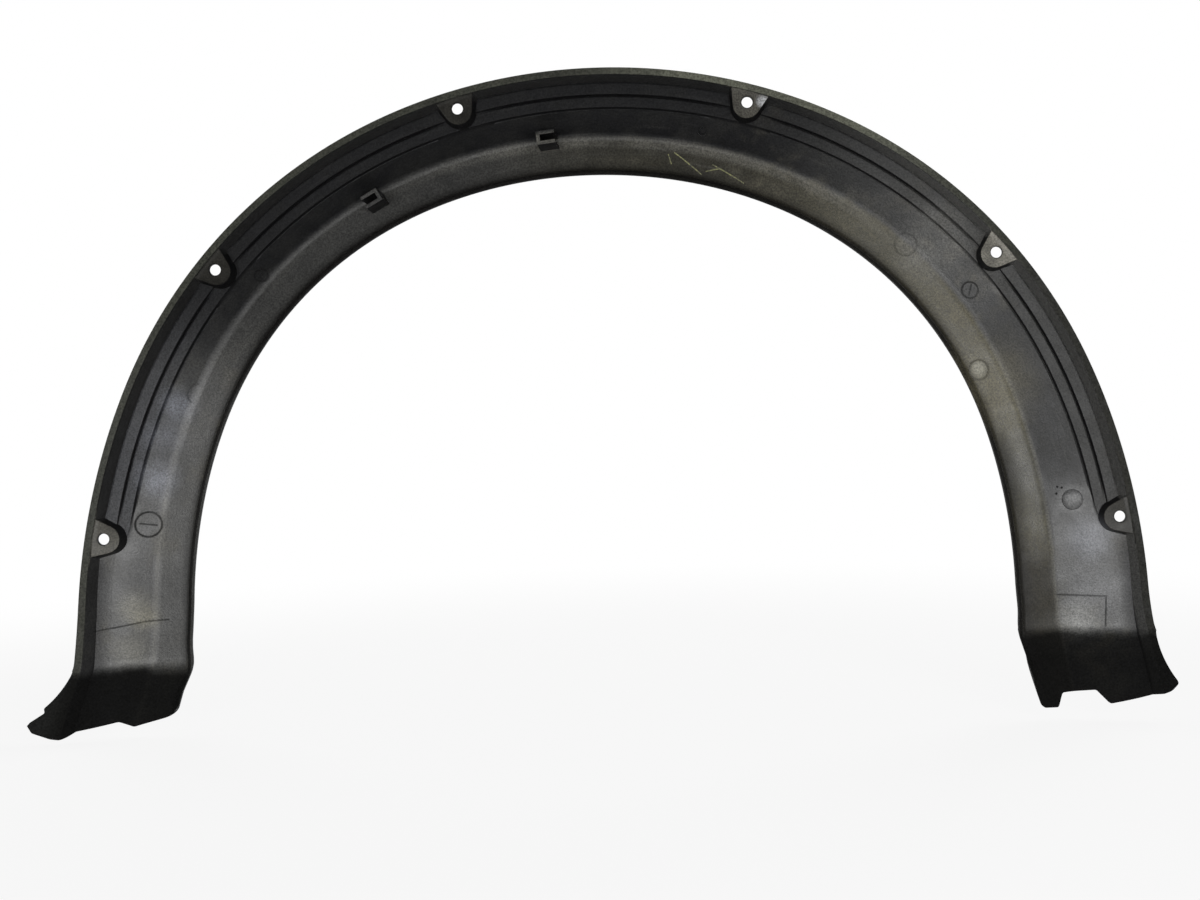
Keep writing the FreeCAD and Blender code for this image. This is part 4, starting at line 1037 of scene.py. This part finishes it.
# %% [markdown]
# ## Ties to the frame
# The visual mesh stands for the moulded node, rides on its only body and takes its finish.

# %% ties to the frame
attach(flare, "root")
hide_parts("wheel_arch_flare")

# %% [markdown]
# ## Studio
# A plain pale floor, a broad low lamp in front, a small one high on the right, and two on the outside of the
# part. The background is white to the camera and faint in reflections, so it doesn't wash out the plastic.

# %% floor
bm = bmesh.new()
bmesh.ops.create_grid(bm, x_segments=1, y_segments=1, size=7.0,
                      matrix=Matrix.Translation((0.0, 0.0, cad_low.z - 0.0006)))
floor = object_from(bm, "floor")


def seen_share(tree, strength):
    """1 for rays from the camera, less for reflections."""
    light = add(tree, "LightPath").outputs
    mirror = math_node(tree, "MULTIPLY", light["Is Glossy Ray"], 0.12)
    through = math_node(tree, "MAXIMUM", light["Is Transmission Ray"], mirror)
    return math_node(tree, "MULTIPLY", math_node(tree, "MAXIMUM", light["Is Camera Ray"], through), strength)


pale = bpy.data.materials.new("pale_floor")
pale.use_nodes = True
tree = pale.node_tree
tree.nodes.clear()
matt = add(tree, "BsdfDiffuse", {"Color": (0.86, 0.86, 0.86, 1)})
white = add(tree, "Emission", {"Color": (1, 1, 1, 1), "Strength": 1.0})
place = add(tree, "TexCoord").outputs["Object"]
away = add(tree, "VectorMath", {0: place}, operation="LENGTH").outputs["Value"]
whiteness = seen_share(tree, ramp(tree, away, 0.8, 1.8, 0.88, 1.0))
mixed = add(tree, "MixShader", {0: whiteness, 1: matt.outputs[0], 2: white.outputs[0]})
tree.links.new(mixed.outputs[0], add(tree, "OutputMaterial").inputs["Surface"])
floor.data.materials.append(pale)
print("floor at", round(cad_low.z, 4), "m")

# %% world and lamps
world = bpy.data.worlds.new("studio")
bpy.context.scene.world = world
world.use_nodes = True
tree = world.node_tree
tree.nodes.clear()
strength = math_node(tree, "MAXIMUM", seen_share(tree, 1.0), 0.06)
sky = add(tree, "Background", {"Color": (1, 1, 1, 1), "Strength": strength})
tree.links.new(sky.outputs[0], add(tree, "OutputWorld").inputs["Surface"])


def lamp(name, place, target, wide, high, power):
    """A soft rectangular lamp that points at a target."""
    data = bpy.data.lights.new(name, "AREA")
    data.shape = "RECTANGLE"
    data.size = wide
    data.size_y = high
    data.energy = power
    made = bpy.data.objects.new(name, data)
    made.location = place
    made.rotation_euler = (Vector(target) - Vector(place)).to_track_quat("-Z", "Y").to_euler()
    bpy.context.scene.collection.objects.link(made)
    return made


lamp("low_front", (0.0, -1.78, -0.40), (0.0, 0.0, -0.36), 2.6, 0.28, 42.0)
lamp("high_right", (0.95, -1.60, 0.20), (0.1, 0.0, -0.20), 0.5, 0.5, 5.0)
lamp("outer_left", (-1.3, 1.5, 0.55), (0.0, 0.0, -0.25), 1.0, 1.0, 14.0)
lamp("outer_right", (1.3, 1.5, 0.75), (0.0, 0.0, -0.25), 1.0, 1.0, 18.0)
print("lamps", [item.name for item in bpy.data.lights])

# %% [markdown]
# ## Camera
# The camera looks square at the arch from 1.3 m, with the part a little off the lens axis and turned by just
# over one degree. A small shift of the lens frames the part without tilting the view.

# %% camera
lens = bpy.data.cameras.new("camera")
lens.sensor_width = 36.0
lens.lens = 43.32
lens.shift_x = -122.0 / 1200.0
lens.shift_y = -10.0 / 1200.0
camera = bpy.data.objects.new("camera", lens)
camera.matrix_world = (Matrix.Translation(Vector((101.2, -1301.0, 137.2 - CENTRE_DROP)) * MM)
                       @ Matrix.Rotation(math.pi / 2, 4, "X") @ Matrix.Rotation(math.radians(-1.3), 4, "Z"))
bpy.context.scene.collection.objects.link(camera)
bpy.context.scene.camera = camera
bpy.context.scene.view_settings.view_transform = "Standard"
print("camera at", [round(n, 3) for n in camera.location])
